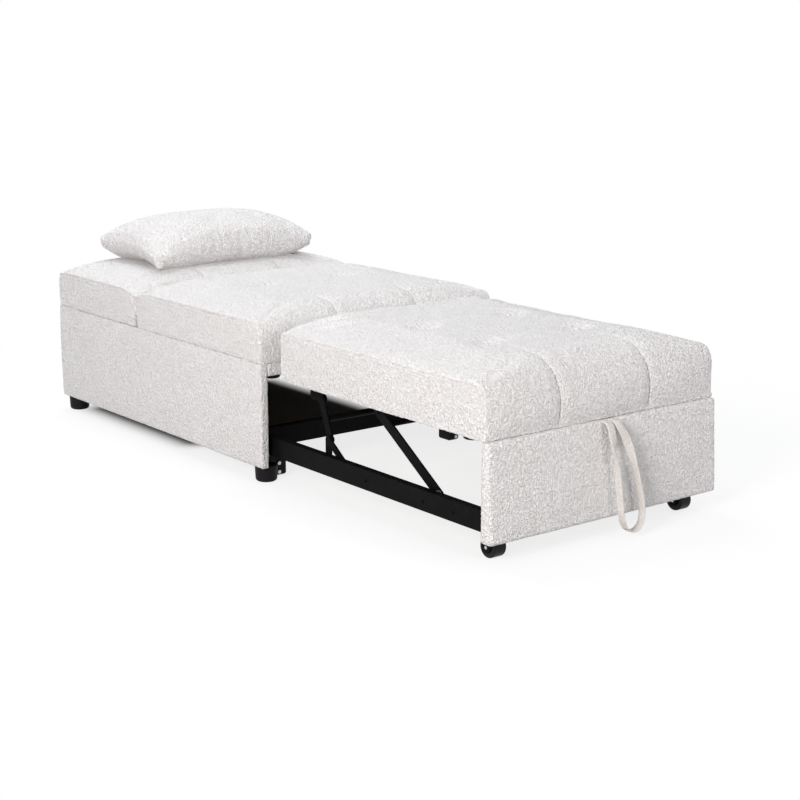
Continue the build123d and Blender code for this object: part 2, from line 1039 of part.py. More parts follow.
def arm_top_pins():
    with BuildPart() as pins:
        for side in sides.values():
            shank_end = arm_outer_x + arm_head_gap
            rod((side * hanger_inner_x, side * shank_end), arm_top_y, arm_top_height, arm_hole_radius)
            rod(
                (side * shank_end, side * (shank_end + arm_head_thickness)),
                arm_top_y,
                arm_top_height,
                arm_head_radius,
            )
    return pins


def side_skirts():
    with BuildPart() as skirts:
        for side in sides.values():
            block(
                (side * platform_outer_x, side * pull_half_width),
                (platform_front_y, pull_rear_y),
                (pull_cushion_bottom, platform_deck_top),
            )
    return skirts


def rear_skirt():
    with BuildPart() as skirt:
        block(
            (-platform_outer_x, platform_outer_x),
            (platform_rear_y, pull_rear_y),
            (pull_cushion_bottom, platform_deck_top),
        )
    return skirt


def front_skirt():
    with BuildPart() as skirt:
        block(
            (-pull_half_width, pull_half_width),
            (pull_front_y, platform_front_y),
            (pull_cushion_bottom, platform_deck_top),
        )
        lower_edge = skirt.edges().filter_by(Axis.X).group_by(Axis.Z)[0].sort_by(Axis.Y)[0]
        fillet(lower_edge, pull_front_round - pull_front_edge)
    return skirt


def pull_out_cushion():
    with BuildPart() as cushion:
        y_span = (pull_front_y, pull_rear_y)
        padded_block(
            2 * pull_half_width,
            y_span,
            pull_foam_bottom,
            pull_side_height,
            pull_crown_rise,
            platform_crown_reach,
        )
        seam = pull_foam_bottom + pull_side_height
        places = [
            (side * pull_tuft_spread, pull_front_y + row) for side in sides.values() for row in pull_tuft_rows
        ]
        tufts(places, seam + pull_crown_rise)
        for side in sides.values():
            dart(
                side * pull_tuft_spread,
                pull_front_y,
                pull_dart_length,
                seam,
                pull_crown_rise,
                platform_crown_reach,
                pull_foam_bottom,
            )
    return cushion


os.makedirs("parts", exist_ok=True)

for name, side in sides.items():
    save(side_board(side), f"side_board_{name}")
    save(side_cover(side), f"side_cover_{name}")
    save(drawer_rail(side), f"drawer_rail_{name}")
    save(
        roller(
            (
                side * guide_roller_x - guide_roller_width / 2,
                side * guide_roller_x + guide_roller_width / 2,
            ),
            guide_roller_y,
            guide_roller_z,
            guide_roller_radius,
            guide_axle_radius + pin_clearance,
            roller_side_gap,
        ),
        f"guide_roller_{name}",
    )
    rail_roller_ends = sorted((side * rail_roller_x, side * (rail_roller_x + rail_roller_width)))
    save(
        roller(
            rail_roller_ends,
            rail_roller_y,
            rail_roller_z,
            rail_roller_radius,
            rail_roller_axle_radius + pin_clearance,
            roller_side_gap,
        ),
        f"rail_roller_{name}",
    )
    save(
        roller(
            (side * caster_x - caster_width / 2, side * caster_x + caster_width / 2),
            caster_y,
            caster_radius,
            caster_radius,
            caster_axle_radius + pin_clearance,
            caster_tread_round,
        ),
        f"caster_wheel_{name}",
    )

save(legs(base_front_y + leg_inset), "front_legs")
save(legs(rear_y - leg_inset), "rear_legs")
save(back_board(), "back_board")
save(back_cover(), "back_cover")
save(front_rail_board(), "front_rail_board")
save(front_rail_cover(), "front_rail_cover")
save(ledges(), "ledges")
save(hinge_beam(), "hinge_beam")
save(seat_deck(), "seat_deck")
save(bay_lining(), "bay_lining")
save(guide_feet(), "guide_feet")
save(guide_axles(), "guide_axles")
save(guide_bolts(), "guide_bolts")
save(runners(), "runners")
save(seat_cushion(), "seat_cushion")
save(hinge_leaves(True), "lower_hinge_leaves")
save(hinge_pins(), "hinge_pins")

save(backrest_board(), "backrest_board")
save(head_cushion(), "head_cushion")
save(hinge_leaves(False), "upper_hinge_leaves")
save(ratchet_wheels(), "ratchet_wheels")
save(pillow(), "pillow")

save(crossbar((rail_rear_y - crossbar_depth, rail_rear_y)), "rear_crossbar")
save(crossbar((panel_back_y, panel_back_y + crossbar_depth)), "front_crossbar")
save(front_board(), "front_board")
save(front_cover(), "front_cover")
save(caster_brackets(), "caster_brackets")
save(caster_axles(), "caster_axles")
save(rail_roller_axles(), "rail_roller_axles")
save(rail_bolts(), "rail_bolts")
save(arm_pivot_pins(), "arm_pivot_pins")
save(rear_pivot_brackets(), "rear_pivot_brackets")
save(pull_strap(), "pull_strap")

save(front_arms(), "front_arms")
save(cross_tube(front_tube_y, front_tube_z), "front_cross_tube")
save(rear_arms(), "rear_arms")
save(rear_arm_pins(), "rear_arm_pins")
save(cross_tube(rear_tube_y, rear_tube_z), "rear_cross_tube")

save(platform_side_boards(), "platform_side_boards")
save(platform_end_boards(), "platform_end_boards")
save(platform_deck(), "platform_deck")
save(platform_battens(), "platform_battens")
save(arm_hangers(), "arm_hangers")
save(arm_top_pins(), "arm_top_pins")
save(side_skirts(), "side_skirts")
save(rear_skirt(), "rear_skirt")
save(front_skirt(), "front_skirt")
save(pull_out_cushion(), "pull_out_cushion")
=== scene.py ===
"""The looks of a chair bed, opened flat: boucle pads over boards, on a wheeled steel drawer.

Every length is in metres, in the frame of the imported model. Each class dresses one sub-assembly.
"""

import json
import logging
import math
from collections.abc import Callable, Sequence
from dataclasses import dataclass
from enum import Enum

import bpy
import numpy as np
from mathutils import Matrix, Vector


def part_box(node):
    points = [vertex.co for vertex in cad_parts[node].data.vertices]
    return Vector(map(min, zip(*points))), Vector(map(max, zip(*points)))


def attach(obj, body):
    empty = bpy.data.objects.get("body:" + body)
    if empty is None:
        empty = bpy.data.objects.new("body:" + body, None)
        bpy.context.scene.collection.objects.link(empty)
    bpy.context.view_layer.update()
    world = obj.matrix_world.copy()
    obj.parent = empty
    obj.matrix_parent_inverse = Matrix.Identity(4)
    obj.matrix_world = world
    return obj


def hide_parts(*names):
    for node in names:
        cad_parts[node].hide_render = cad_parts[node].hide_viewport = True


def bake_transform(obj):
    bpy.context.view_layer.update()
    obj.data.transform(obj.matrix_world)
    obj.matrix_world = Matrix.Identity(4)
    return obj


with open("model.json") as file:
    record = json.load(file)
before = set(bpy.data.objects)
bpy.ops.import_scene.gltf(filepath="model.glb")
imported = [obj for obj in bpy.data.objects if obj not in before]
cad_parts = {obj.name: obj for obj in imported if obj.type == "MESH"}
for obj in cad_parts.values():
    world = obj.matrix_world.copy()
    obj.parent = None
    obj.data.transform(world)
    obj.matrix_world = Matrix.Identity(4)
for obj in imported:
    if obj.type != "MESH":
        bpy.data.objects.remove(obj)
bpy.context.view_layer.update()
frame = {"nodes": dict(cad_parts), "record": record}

Colour = tuple[float, float, float]
Place = tuple[float, float, float]
EdgeTest = Callable[[Vector, Vector], bool]
TINY = 1e-4

log = logging.getLogger("chair_bed")


class Body(Enum):
    """The bodies of the bed that the soft pieces ride on."""

    BASE = "base"
    BACKREST = "backrest"
    PILLOW = "pillow"
    DRAWER = "drawer"
    PLATFORM = "platform"


class Slot(Enum):
    """The material slots of the bed's record."""

    BOUCLE = "boucle"
    STRAP = "strap_webbing"
    BOARD = "frame_board"
    LINING = "dust_cloth"
    PLASTIC = "black_plastic"
    STEEL = "black_steel"
    ZINC = "zinc"
    ROLLER = "roller_plastic"


# Modelling steps that every piece shares


def activate(piece: bpy.types.Object) -> None:
    """Make a piece the only selected and the active object.

    Args:
        piece: the piece to select.
    """
    bpy.ops.object.select_all(action="DESELECT")
    piece.select_set(True)
    bpy.context.view_layer.objects.active = piece


def link_to_scene(name: str, data: bpy.types.ID) -> bpy.types.Object:
    """Make an object around some data and put it in the scene.

    Args:
        name: the object's name.
        data: its mesh, curve, lamp or camera.

    Returns:
        The new object.
    """
    linked = bpy.data.objects.new(name, data)
    bpy.context.scene.collection.objects.link(linked)
    return linked


def aim(thing: bpy.types.Object, place: Place, target: Place) -> None:
    """Put a lamp or a camera at a place and point it at a target."""
    thing.location = place
    thing.rotation_euler = (Vector(target) - Vector(place)).to_track_quat("-Z", "Y").to_euler()


def block(name: str, low: Vector, high: Vector) -> bpy.types.Object:
    """Add a cube that fills the box between two corners.

    Args:
        name: the name of the piece and its mesh.
        low: the lowest corner.
        high: the highest corner.

    Returns:
        The new piece, with its place in its mesh.
    """
    bpy.ops.object.select_all(action="DESELECT")
    bpy.ops.mesh.primitive_cube_add(size=1, location=(low + high) / 2)
    piece = bpy.context.active_object
    piece.name = piece.data.name = name
    piece.scale = high - low
    bpy.ops.object.transform_apply(location=True, rotation=True, scale=True)
    return piece


def round_edges(piece: bpy.types.Object, chosen: EdgeTest, width: float, segments: int) -> None:
    """Bevel the edges whose two ends pass a test.

    Args:
        piece: the piece to round.
        chosen: the test of an edge's two ends.
        width: the bevel's width.
        segments: the number of segments across it.
    """
    activate(piece)
    bpy.ops.object.mode_set(mode="EDIT")
    bpy.ops.mesh.select_mode(type="EDGE")
    bpy.ops.mesh.select_all(action="DESELECT")
    bpy.ops.object.mode_set(mode="OBJECT")
    vertices = piece.data.vertices
    for edge in piece.data.edges:
        edge.select = chosen(*(vertices[i].co for i in edge.vertices))
    bpy.ops.object.mode_set(mode="EDIT")
    bpy.ops.mesh.bevel(offset=width, segments=segments, affect="EDGES")
    bpy.ops.object.mode_set(mode="OBJECT")


def apply_modifier(piece: bpy.types.Object, kind: str, **settings: object) -> None:
    """Add a modifier and apply it.

    Args:
        piece: the piece to change.
        kind: the modifier's type.
        settings: the modifier's settings.
    """
    activate(piece)
    modifier = piece.modifiers.new(kind.lower(), kind)
    for key, value in settings.items():
        setattr(modifier, key, value)
    bpy.ops.object.modifier_apply(modifier=modifier.name)


def subdivide(piece: bpy.types.Object) -> None:
    """Smooth a piece by one level of subdivision."""
    apply_modifier(piece, "SUBSURF", levels=1, render_levels=1)


def remesh(piece: bpy.types.Object, voxel: float) -> None:
    """Rebuild a closed piece from even quads.

    Args:
        piece: the piece to rebuild.
        voxel: the size of its quads.
    """
    activate(piece)
    piece.data.remesh_voxel_size = voxel
    bpy.ops.object.voxel_remesh()


def rows_of(items: bpy.types.bpy_prop_collection, key: str) -> np.ndarray:
    """Return one vector property of a mesh's vertices, normals or faces as rows of x, y and z.

    Args:
        items: the mesh's vertices, vertex normals or faces.
        key: the property's name.

    Returns:
        One row for each item.
    """
    rows = np.empty(len(items) * 3)
    items.foreach_get(key, rows)
    return rows.reshape(-1, 3)


def points_of(piece: bpy.types.Object) -> np.ndarray:
    """Return the piece's vertices as rows of x, y and z."""
    return rows_of(piece.data.vertices, "co")


def normals_of(piece: bpy.types.Object) -> np.ndarray:
    """Return the piece's vertex normals as rows of x, y and z."""
    return rows_of(piece.data.vertex_normals, "vector")


def set_points(piece: bpy.types.Object, points: np.ndarray) -> None:
    """Move the piece's vertices to the given rows."""
    piece.data.vertices.foreach_set("co", points.ravel())
    piece.data.update()


def refine(piece: bpy.types.Object, near: Callable[[np.ndarray], np.ndarray]) -> None:
    """Split the faces whose centres pass a test into four.

    Args:
        piece: the piece to refine.
        near: the test of the faces' centres, one row each.
    """
    activate(piece)
    bpy.ops.object.mode_set(mode="EDIT")
    bpy.ops.mesh.select_mode(type="FACE")
    bpy.ops.mesh.select_all(action="DESELECT")
    bpy.ops.object.mode_set(mode="OBJECT")
    faces = piece.data.polygons
    faces.foreach_set("select", near(rows_of(faces, "center")))
    bpy.ops.object.mode_set(mode="EDIT")
    bpy.ops.mesh.subdivide(number_cuts=1)
    bpy.ops.object.mode_set(mode="OBJECT")


def smooth_step(value: np.ndarray, low: float, high: float) -> np.ndarray:
    """Rise smoothly from 0 at low to 1 at high."""
    share = np.clip((value - low) / (high - low), 0, 1)
    return share * share * (3 - 2 * share)


def dome(distance: np.ndarray, reach: float) -> np.ndarray:
    """Rise as a quarter of an ellipse from 0 at an edge to 1 at its reach."""
    return np.sqrt(1 - (1 - np.clip(distance / reach, 0, 1)) ** 2)


def bell(distance: np.ndarray, width: float) -> np.ndarray:
    """Fall smoothly from 1 at no distance to nearly 0 at two widths."""
    return np.exp(-((distance / width) ** 2))


@dataclass(frozen=True)
class Swelling:
    """How a stuffed piece is blown up by cloth simulation.

    The cap is the furthest that a point may move.
    """

    pressure: float = 4.0
    steps: int = 20
    cap: float = 0.008
    tension: float = 25.0
    quality: int = 3

    def blow(self, piece: bpy.types.Object, sewn: np.ndarray) -> None:
        """Simulate the piece under pressure and keep the capped result.

        Args:
            piece: the piece to swell.
            sewn: which vertices the seams hold in place.
        """
        rest = points_of(piece)
        group = piece.vertex_groups.new(name="sewn")
        group.add(np.flatnonzero(sewn).tolist(), 1.0, "REPLACE")
        modifier = piece.modifiers.new("swelling", "CLOTH")
        cloth = modifier.settings
        cloth.quality = self.quality
        cloth.use_pressure = True
        cloth.uniform_pressure_force = self.pressure
        cloth.effector_weights.gravity = 0.0
        cloth.vertex_group_mass = group.name
        cloth.tension_stiffness = cloth.compression_stiffness = self.tension
        for step in range(1, self.steps + 1):
            bpy.context.scene.frame_set(step)
        blown = piece.evaluated_get(bpy.context.evaluated_depsgraph_get()).to_mesh()
        shift = rows_of(blown.vertices, "co") - rest
        piece.modifiers.remove(modifier)
        bpy.context.scene.frame_set(1)
        length = np.maximum(np.linalg.norm(shift, axis=1, keepdims=True), TINY)
        set_points(piece, rest + shift * np.minimum(1, self.cap / length))
        piece.vertex_groups.remove(group)


@dataclass(frozen=True)
class Unevenness:
    """Soft bumps of one size over a whole piece or one group of its vertices."""

    size: float
    height: float

    def press(self, piece: bpy.types.Object, group: str = "") -> None:
        """Push the vertices along their normals by a noise of this size and height.

        Args:
            piece: the piece to roughen.
            group: the vertex group to keep to, or none for the whole piece.
        """
        texture = bpy.data.textures.new(f"{piece.name}_clouds", "CLOUDS")
        texture.noise_scale = self.size
        apply_modifier(
            piece,
            "DISPLACE",
            texture=texture,
            texture_coords="LOCAL",
            strength=self.height,
            mid_level=0.5,
            vertex_group=group,
        )
        bpy.data.textures.remove(texture)


SLOW_WAVES = Unevenness(0.11, 0.0045)
CURLS = Unevenness(0.0068, 0.0029)
BOARD_CURLS = Unevenness(CURLS.size, CURLS.height * 0.7)
CREASE_CURLS = Unevenness(CURLS.size, 0.001)


def hand_over(
    piece: bpy.types.Object, body: Body, finish: bpy.types.Material, nodes: Sequence[str]
) -> None:
    """Shade a finished piece smooth, give it its material and body, and hide the solids that it stands for.

    Args:
        piece: the finished piece.
        body: the body that it rides on.
        finish: the material.
        nodes: the solids that it replaces.
    """
    activate(piece)
    bpy.ops.object.shade_smooth()
    piece.data.materials.clear()
    piece.data.materials.append(finish)
    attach(piece, body.value)
    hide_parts(*nodes)
    log.info("%s: %d vertices on %s", piece.name, len(piece.data.vertices), body.value)


# Finishes


class Tree:
    """Adds and links the nodes of one node tree."""

    def __init__(self, tree: bpy.types.NodeTree) -> None:
        """Start from an empty tree."""
        self.tree = tree
        tree.nodes.clear()

    def add(
        self, kind: str, inputs: dict[str | int, object] | None = None, **settings: object
    ) -> bpy.types.Node:
        """Add a node, set its options, and set or link its inputs.

        Args:
            kind: the node's type.
            inputs: for each input's name or number, a value or the socket that feeds it.
            settings: the node's options.

        Returns:
            The new node.
        """
        node = self.tree.nodes.new(kind)
        for key, value in settings.items():
            setattr(node, key, value)
        for key, value in (inputs or {}).items():
            if isinstance(value, bpy.types.NodeSocket):
                self.tree.links.new(value, node.inputs[key])
            else:
                node.inputs[key].default_value = value
        return node

    def math(self, operation: str, *values: object, clamp: bool = False) -> bpy.types.NodeSocket:
        """Return the result of a Math node of the given values or sockets."""
        node = self.add("ShaderNodeMath", dict(enumerate(values)), operation=operation, use_clamp=clamp)
        return node.outputs[0]

    def lift(self, value: bpy.types.NodeSocket, floor: float, gain: float) -> bpy.types.NodeSocket:
        """Return how far a value stands above a floor, times a gain, held between 0 and 1."""
        return self.math("MULTIPLY", self.math("SUBTRACT", value, floor), gain, clamp=True)

    def mix(self, share: object, first: object, second: Colour) -> bpy.types.NodeSocket:
        """Mix two colours.

        Args:
            share: the second colour's share, as a value or a socket.
            first: the first colour, or the socket that feeds it.
            second: the second colour.

        Returns:
            The socket with the mixed colour.
        """
        start = first if isinstance(first, bpy.types.NodeSocket) else (*first, 1)
        node = self.add("ShaderNodeMix", {0: share, 6: start, 7: (*second, 1)}, data_type="RGBA")
        return node.outputs[2]


def new_group(
    name: str, inputs: dict[str, str], outputs: dict[str, str]
) -> tuple[Tree, bpy.types.NodeTree]:
    """Make a shader node group with named sockets.

    Args:
        name: the group's name.
        inputs: each input's name and socket type.
        outputs: each output's name and socket type.

    Returns:
        The tree to add nodes to, and the group.
    """
    group = bpy.data.node_groups.new(name, "ShaderNodeTree")
    for sockets, way in ((inputs, "INPUT"), (outputs, "OUTPUT")):
        for key, kind in sockets.items():
            group.interface.new_socket(name=key, in_out=way, socket_type=kind)
    return Tree(group), group


FLOAT = "NodeSocketFloat"
VECTOR = "NodeSocketVector"


@dataclass(frozen=True)
class CurlyPile:
    """The shared effect of looped pile: small curls of yarn, some prouder than others, with painted shade in
    the low pile between them.
    """

    drift: float = 0.007
    knot_softness: float = 0.6
    knot_fall: float = 1.25
    knot_share: float = 0.6
    yarn_finer: float = 1.35
    yarn_fall: float = 5.0
    valley_floor: float = 0.12
    crevice_shade_gain: float = 1.9
    cloud_scale: float = 9.0
    cloud_share: float = 0.2

    def build(self) -> bpy.types.NodeTree:
        """Build the node group.

        Returns:
            The group, which puts out the pile's height and its shade: painted shade that darkens the low pile
            between curls, mixed with a slow random tone.
        """
        tree, group = new_group(
            "curly_pile", {"Vector": VECTOR, "Curls": FLOAT}, {"Height": FLOAT, "Shade": FLOAT}
        )
        given = tree.add("NodeGroupInput")
        place, curls = given.outputs["Vector"], given.outputs["Curls"]
        drift = tree.add("ShaderNodeTexNoise", {"Vector": place, "Scale": curls, "Detail": 1.0})
        centred = tree.add(
            "ShaderNodeVectorMath", {0: drift.outputs["Color"], 1: (0.5, 0.5, 0.5)}, operation="SUBTRACT"
        )
        push = tree.add(
            "ShaderNodeVectorMath", {0: centred.outputs[0], "Scale": self.drift}, operation="SCALE"
        )
        warped = tree.add("ShaderNodeVectorMath", {0: place, 1: push.outputs[0]}, operation="ADD")
        knots = tree.add(
            "ShaderNodeTexVoronoi",
            {"Vector": warped.outputs[0], "Scale": curls, "Smoothness": self.knot_softness},
            feature="SMOOTH_F1",
        )
        yarn = tree.add(
            "ShaderNodeTexNoise",
            {
                "Vector": warped.outputs[0],
                "Scale": tree.math("MULTIPLY", curls, self.yarn_finer),
                "Detail": 1.5,
            },
        )
        fold = tree.math("ABSOLUTE", tree.math("SUBTRACT", yarn.outputs["Fac"], 0.5))
        ridge = tree.math("SUBTRACT", 1.0, tree.math("MULTIPLY", fold, self.yarn_fall), clamp=True)
        slope = tree.math("MULTIPLY", knots.outputs["Distance"], self.knot_fall)
        knot = tree.math("SUBTRACT", 1.0, slope, clamp=True)
        height = tree.math(
            "ADD",
            tree.math("MULTIPLY", knot, self.knot_share),
            tree.math("MULTIPLY", ridge, 1 - self.knot_share),
        )
        cloud = tree.add(
            "ShaderNodeTexNoise", {"Vector": place, "Scale": self.cloud_scale, "Detail": 2.0}
        )
        # painted shade: the lower the pile, the darker the colour, standing in for the shade between curls;
        # the cloud adds a slow random tone
        crevice_shade = tree.lift(height, self.valley_floor, self.crevice_shade_gain)
        shade = tree.math(
            "ADD",
            tree.math("MULTIPLY", crevice_shade, 1 - self.cloud_share),
            tree.math("MULTIPLY", cloud.outputs["Fac"], self.cloud_share),
        )
        tree.add("NodeGroupOutput", {"Height": height, "Shade": shade})
        return group


@dataclass(frozen=True)
class FineGrain:
    """The shared effect of the fine grain and faint scuffs of paint, plating and plastic."""

    scuff_scale: float = 38.0
    scuff_roughness: float = 0.62
    scuff_gain: float = 4.0

    def build(self) -> bpy.types.NodeTree:
        """Build the node group.

        Returns:
            The group, which puts out the grain's height and a mask of scuffs.
        """
        tree, group = new_group(
            "fine_grain", {"Vector": VECTOR, "Grains": FLOAT}, {"Height": FLOAT, "Scuffs": FLOAT}
        )
        given = tree.add("NodeGroupInput")
        place, grains = given.outputs["Vector"], given.outputs["Grains"]
        grain = tree.add("ShaderNodeTexNoise", {"Vector": place, "Scale": grains, "Detail": 3.0})
        cloud = tree.add(
            "ShaderNodeTexNoise",
            {
                "Vector": place,
                "Scale": self.scuff_scale,
                "Detail": 5.0,
                "Roughness": self.scuff_roughness,
            },
        )
        scuffs = tree.lift(cloud.outputs["Fac"], 0.5, self.scuff_gain)
        tree.add("NodeGroupOutput", {"Height": grain.outputs["Fac"], "Scuffs": scuffs})
        return group


def new_material(name: str) -> tuple[bpy.types.Material, Tree]:
    """Make an empty node material.

    Args:
        name: the material's name.

    Returns:
        The material, and its tree to add nodes to.
    """
    material = bpy.data.materials.new(name)
    material.use_nodes = True
    return material, Tree(material.node_tree)


@dataclass(frozen=True)
class Pile:
    """A looped cloth, darker in the valleys between curls by painted shade and lighter on the loops, with the
    number of curls to a metre and their depth.
    """

    name: str
    # the colour of the low pile between curls, darker as painted shade
    valley: Colour
    loop: Colour
    curls: float
    depth: float
    strength: float
    sheen: float = 0.1
    gloss: float = 0.15
    roughness: float = 0.95
    sheen_roughness: float = 0.6

    def build(self, effect: bpy.types.NodeTree) -> bpy.types.Material:
        """Make the material around the shared pile effect.

        Args:
            effect: the node group of the pile.

        Returns:
            The material.
        """
        material, tree = new_material(self.name)
        place = tree.add("ShaderNodeTexCoord").outputs["Object"]
        pile = tree.add("ShaderNodeGroup", {"Vector": place, "Curls": self.curls}, node_tree=effect)
        bump = tree.add(
            "ShaderNodeBump",
            {"Height": pile.outputs["Height"], "Strength": self.strength, "Distance": self.depth},
        )
        shader = tree.add(
            "ShaderNodeBsdfPrincipled",
            {
                # painted shade: the colour falls from the loop colour to the darker valley colour in the low
                # pile
                "Base Color": tree.mix(pile.outputs["Shade"], self.valley, self.loop),
                "Roughness": self.roughness,
                "Specular IOR Level": self.gloss,
                "Sheen Weight": self.sheen,
                "Sheen Roughness": self.sheen_roughness,
                "Normal": bump.outputs["Normal"],
            },
        )
        tree.add("ShaderNodeOutputMaterial", {"Surface": shader.outputs[0]})
        return material


@dataclass(frozen=True)
class Coating:
    """A hard finish: paint, plating or moulded plastic, with its grain and scuffs."""

    name: str
    colour: Colour
    scuffed: Colour
    roughness: float
    grains: float
    depth: float
    metallic: float = 0.0
    gloss: float = 0.5
    roughness_spread: float = 0.12
    strength: float = 0.35

    def build(self, effect: bpy.types.NodeTree) -> bpy.types.Material:
        """Make the material around the shared grain effect.

        Args:
            effect: the node group of the grain.

        Returns:
            The material.
        """
        material, tree = new_material(self.name)
        place = tree.add("ShaderNodeTexCoord").outputs["Object"]
        grain = tree.add("ShaderNodeGroup", {"Vector": place, "Grains": self.grains}, node_tree=effect)
        bump = tree.add(
            "ShaderNodeBump",
            {"Height": grain.outputs["Height"], "Strength": self.strength, "Distance": self.depth},
        )
        spread = tree.math("MULTIPLY", grain.outputs["Scuffs"], self.roughness_spread)
        shader = tree.add(
            "ShaderNodeBsdfPrincipled",
            {
                "Base Color": tree.mix(grain.outputs["Scuffs"], self.colour, self.scuffed),
                "Metallic": self.metallic,
                "Roughness": tree.math("ADD", spread, self.roughness),
                "Specular IOR Level": self.gloss,
                "Normal": bump.outputs["Normal"],
            },
        )
        tree.add("ShaderNodeOutputMaterial", {"Surface": shader.outputs[0]})
        return material


@dataclass(frozen=True)
class Plywood:
    """Raw plywood with its grain along the bed."""

    name: str = "plywood"
    early: Colour = (0.74, 0.60, 0.42)
    late: Colour = (0.55, 0.40, 0.25)
    stretch: tuple[float, float, float] = (26.0, 2.2, 26.0)
    line_floor: float = 0.42
    line_gain: float = 3.2
    roughness: float = 0.72
    strength: float = 0.2
    depth: float = 0.0006

    def build(self) -> bpy.types.Material:
        """Make the material.

        Returns:
            The material.
        """
        material, tree = new_material(self.name)
        place = tree.add("ShaderNodeTexCoord").outputs["Object"]
        along = tree.add("ShaderNodeMapping", {"Vector": place, "Scale": self.stretch})
        grain = tree.add(
            "ShaderNodeTexNoise",
            {"Vector": along.outputs[0], "Scale": 3.0, "Detail": 6.0, "Distortion": 0.8},
        )
        line = tree.lift(grain.outputs["Fac"], self.line_floor, self.line_gain)
        bump = tree.add(
            "ShaderNodeBump",
            {"Height": grain.outputs["Fac"], "Strength": self.strength, "Distance": self.depth},
        )
        shader = tree.add(
            "ShaderNodeBsdfPrincipled",
            {
                "Base Color": tree.mix(line, self.early, self.late),
                "Roughness": self.roughness,
                "Normal": bump.outputs[0],
            },
        )
        tree.add("ShaderNodeOutputMaterial", {"Surface": shader.outputs[0]})
        return material


# each cloth's valley colour is painted shade between its curls; its loop colour is the yarn's own colour
CLOTHS = {
    Slot.BOUCLE: Pile(
        name="boucle",
        valley=(0.78, 0.745, 0.73),
        loop=(0.92, 0.91, 0.905),
        curls=165.0,
        depth=0.0052,
        strength=1.0,
    ),
    Slot.STRAP: Pile(
        name="strap_boucle",
        valley=(0.66, 0.61, 0.57),
        loop=(0.88, 0.85, 0.82),
        curls=300.0,
        depth=0.0022,
        strength=0.9,
    ),
    Slot.LINING: Pile(
        name="dust_cloth",
        valley=(0.003, 0.003, 0.0035),
        loop=(0.010, 0.010, 0.011),
        curls=420.0,
        depth=0.0005,
        strength=0.5,
        sheen=0.0,
        gloss=0.05,
    ),
}
COATINGS = {
    Slot.STEEL: Coating(
        name="black_steel",
        colour=(0.003, 0.003, 0.0035),
        scuffed=(0.007, 0.007, 0.008),
        roughness=0.55,
        grains=900.0,
        depth=0.0003,
        gloss=0.05,
    ),
    Slot.PLASTIC: Coating(
        name="black_plastic",
        colour=(0.006, 0.0055, 0.007),
        scuffed=(0.012, 0.011, 0.014),
        roughness=0.5,
        grains=650.0,
        depth=0.0004,
        gloss=0.12,
    ),
    Slot.ROLLER: Coating(
        name="roller_plastic",
        colour=(0.005, 0.005, 0.0055),
        scuffed=(0.014, 0.014, 0.015),
        roughness=0.4,
        grains=500.0,
        depth=0.0003,
        gloss=0.15,
    ),
    Slot.ZINC: Coating(
        name="zinc",
        colour=(0.50, 0.53, 0.57),
        scuffed=(0.36, 0.38, 0.41),
        roughness=0.28,
        grains=1200.0,
        depth=0.0002,
        metallic=0.9,
    ),
}


class Finishes:
    """Every material of the bed, one for each slot."""

    def __init__(self) -> None:
        """Build the shared effects once, and each material with its own values."""
        pile, grain = CurlyPile().build(), FineGrain().build()
        self.by_slot = {slot: cloth.build(pile) for slot, cloth in CLOTHS.items()}
        self.by_slot[Slot.BOARD] = Plywood().build()
        self.by_slot.update((slot, coating.build(grain)) for slot, coating in COATINGS.items())

    def dress_solids(self) -> None:
        """Give each carried-over solid the material of its slot."""
        for row in frame["record"]["subparts"]:
            node = frame["nodes"][row["node"]]
            finish = self.by_slot[Slot(row["material_slot"])]
            if not node.material_slots:
                node.data.materials.append(finish)
            for held in node.material_slots:
                held.material = finish


# Studio


@dataclass(frozen=True)
class Lamp:
    """A square soft lamp that points at a target."""

    name: str
    place: Place
    target: Place
    size: float
    power: float
    colour: Colour

    def build(self) -> None:
        """Add the lamp to the scene."""
        data = bpy.data.lights.new(self.name, "AREA")
        data.shape = "SQUARE"
        data.size = self.size
        data.energy = self.power
        data.color = self.colour
        aim(link_to_scene(self.name, data), self.place, self.target)


WARM = (1.0, 0.96, 0.94)
LAMPS = (
    Lamp("sky_panel", (0.3, 1.5, 2.9), (0, 0, 0.3), size=2.4, power=64.0, colour=(0.93, 0.96, 1.0)),
    Lamp("side_panel", (-4.0, -2.2, 2.0), (0, 0, 0.2), size=1.5, power=170.0, colour=WARM),
    Lamp("foot_panel", (1.2, -4.6, 1.9), (0, -0.5, 0.2), size=1.8, power=46.0, colour=WARM),
)


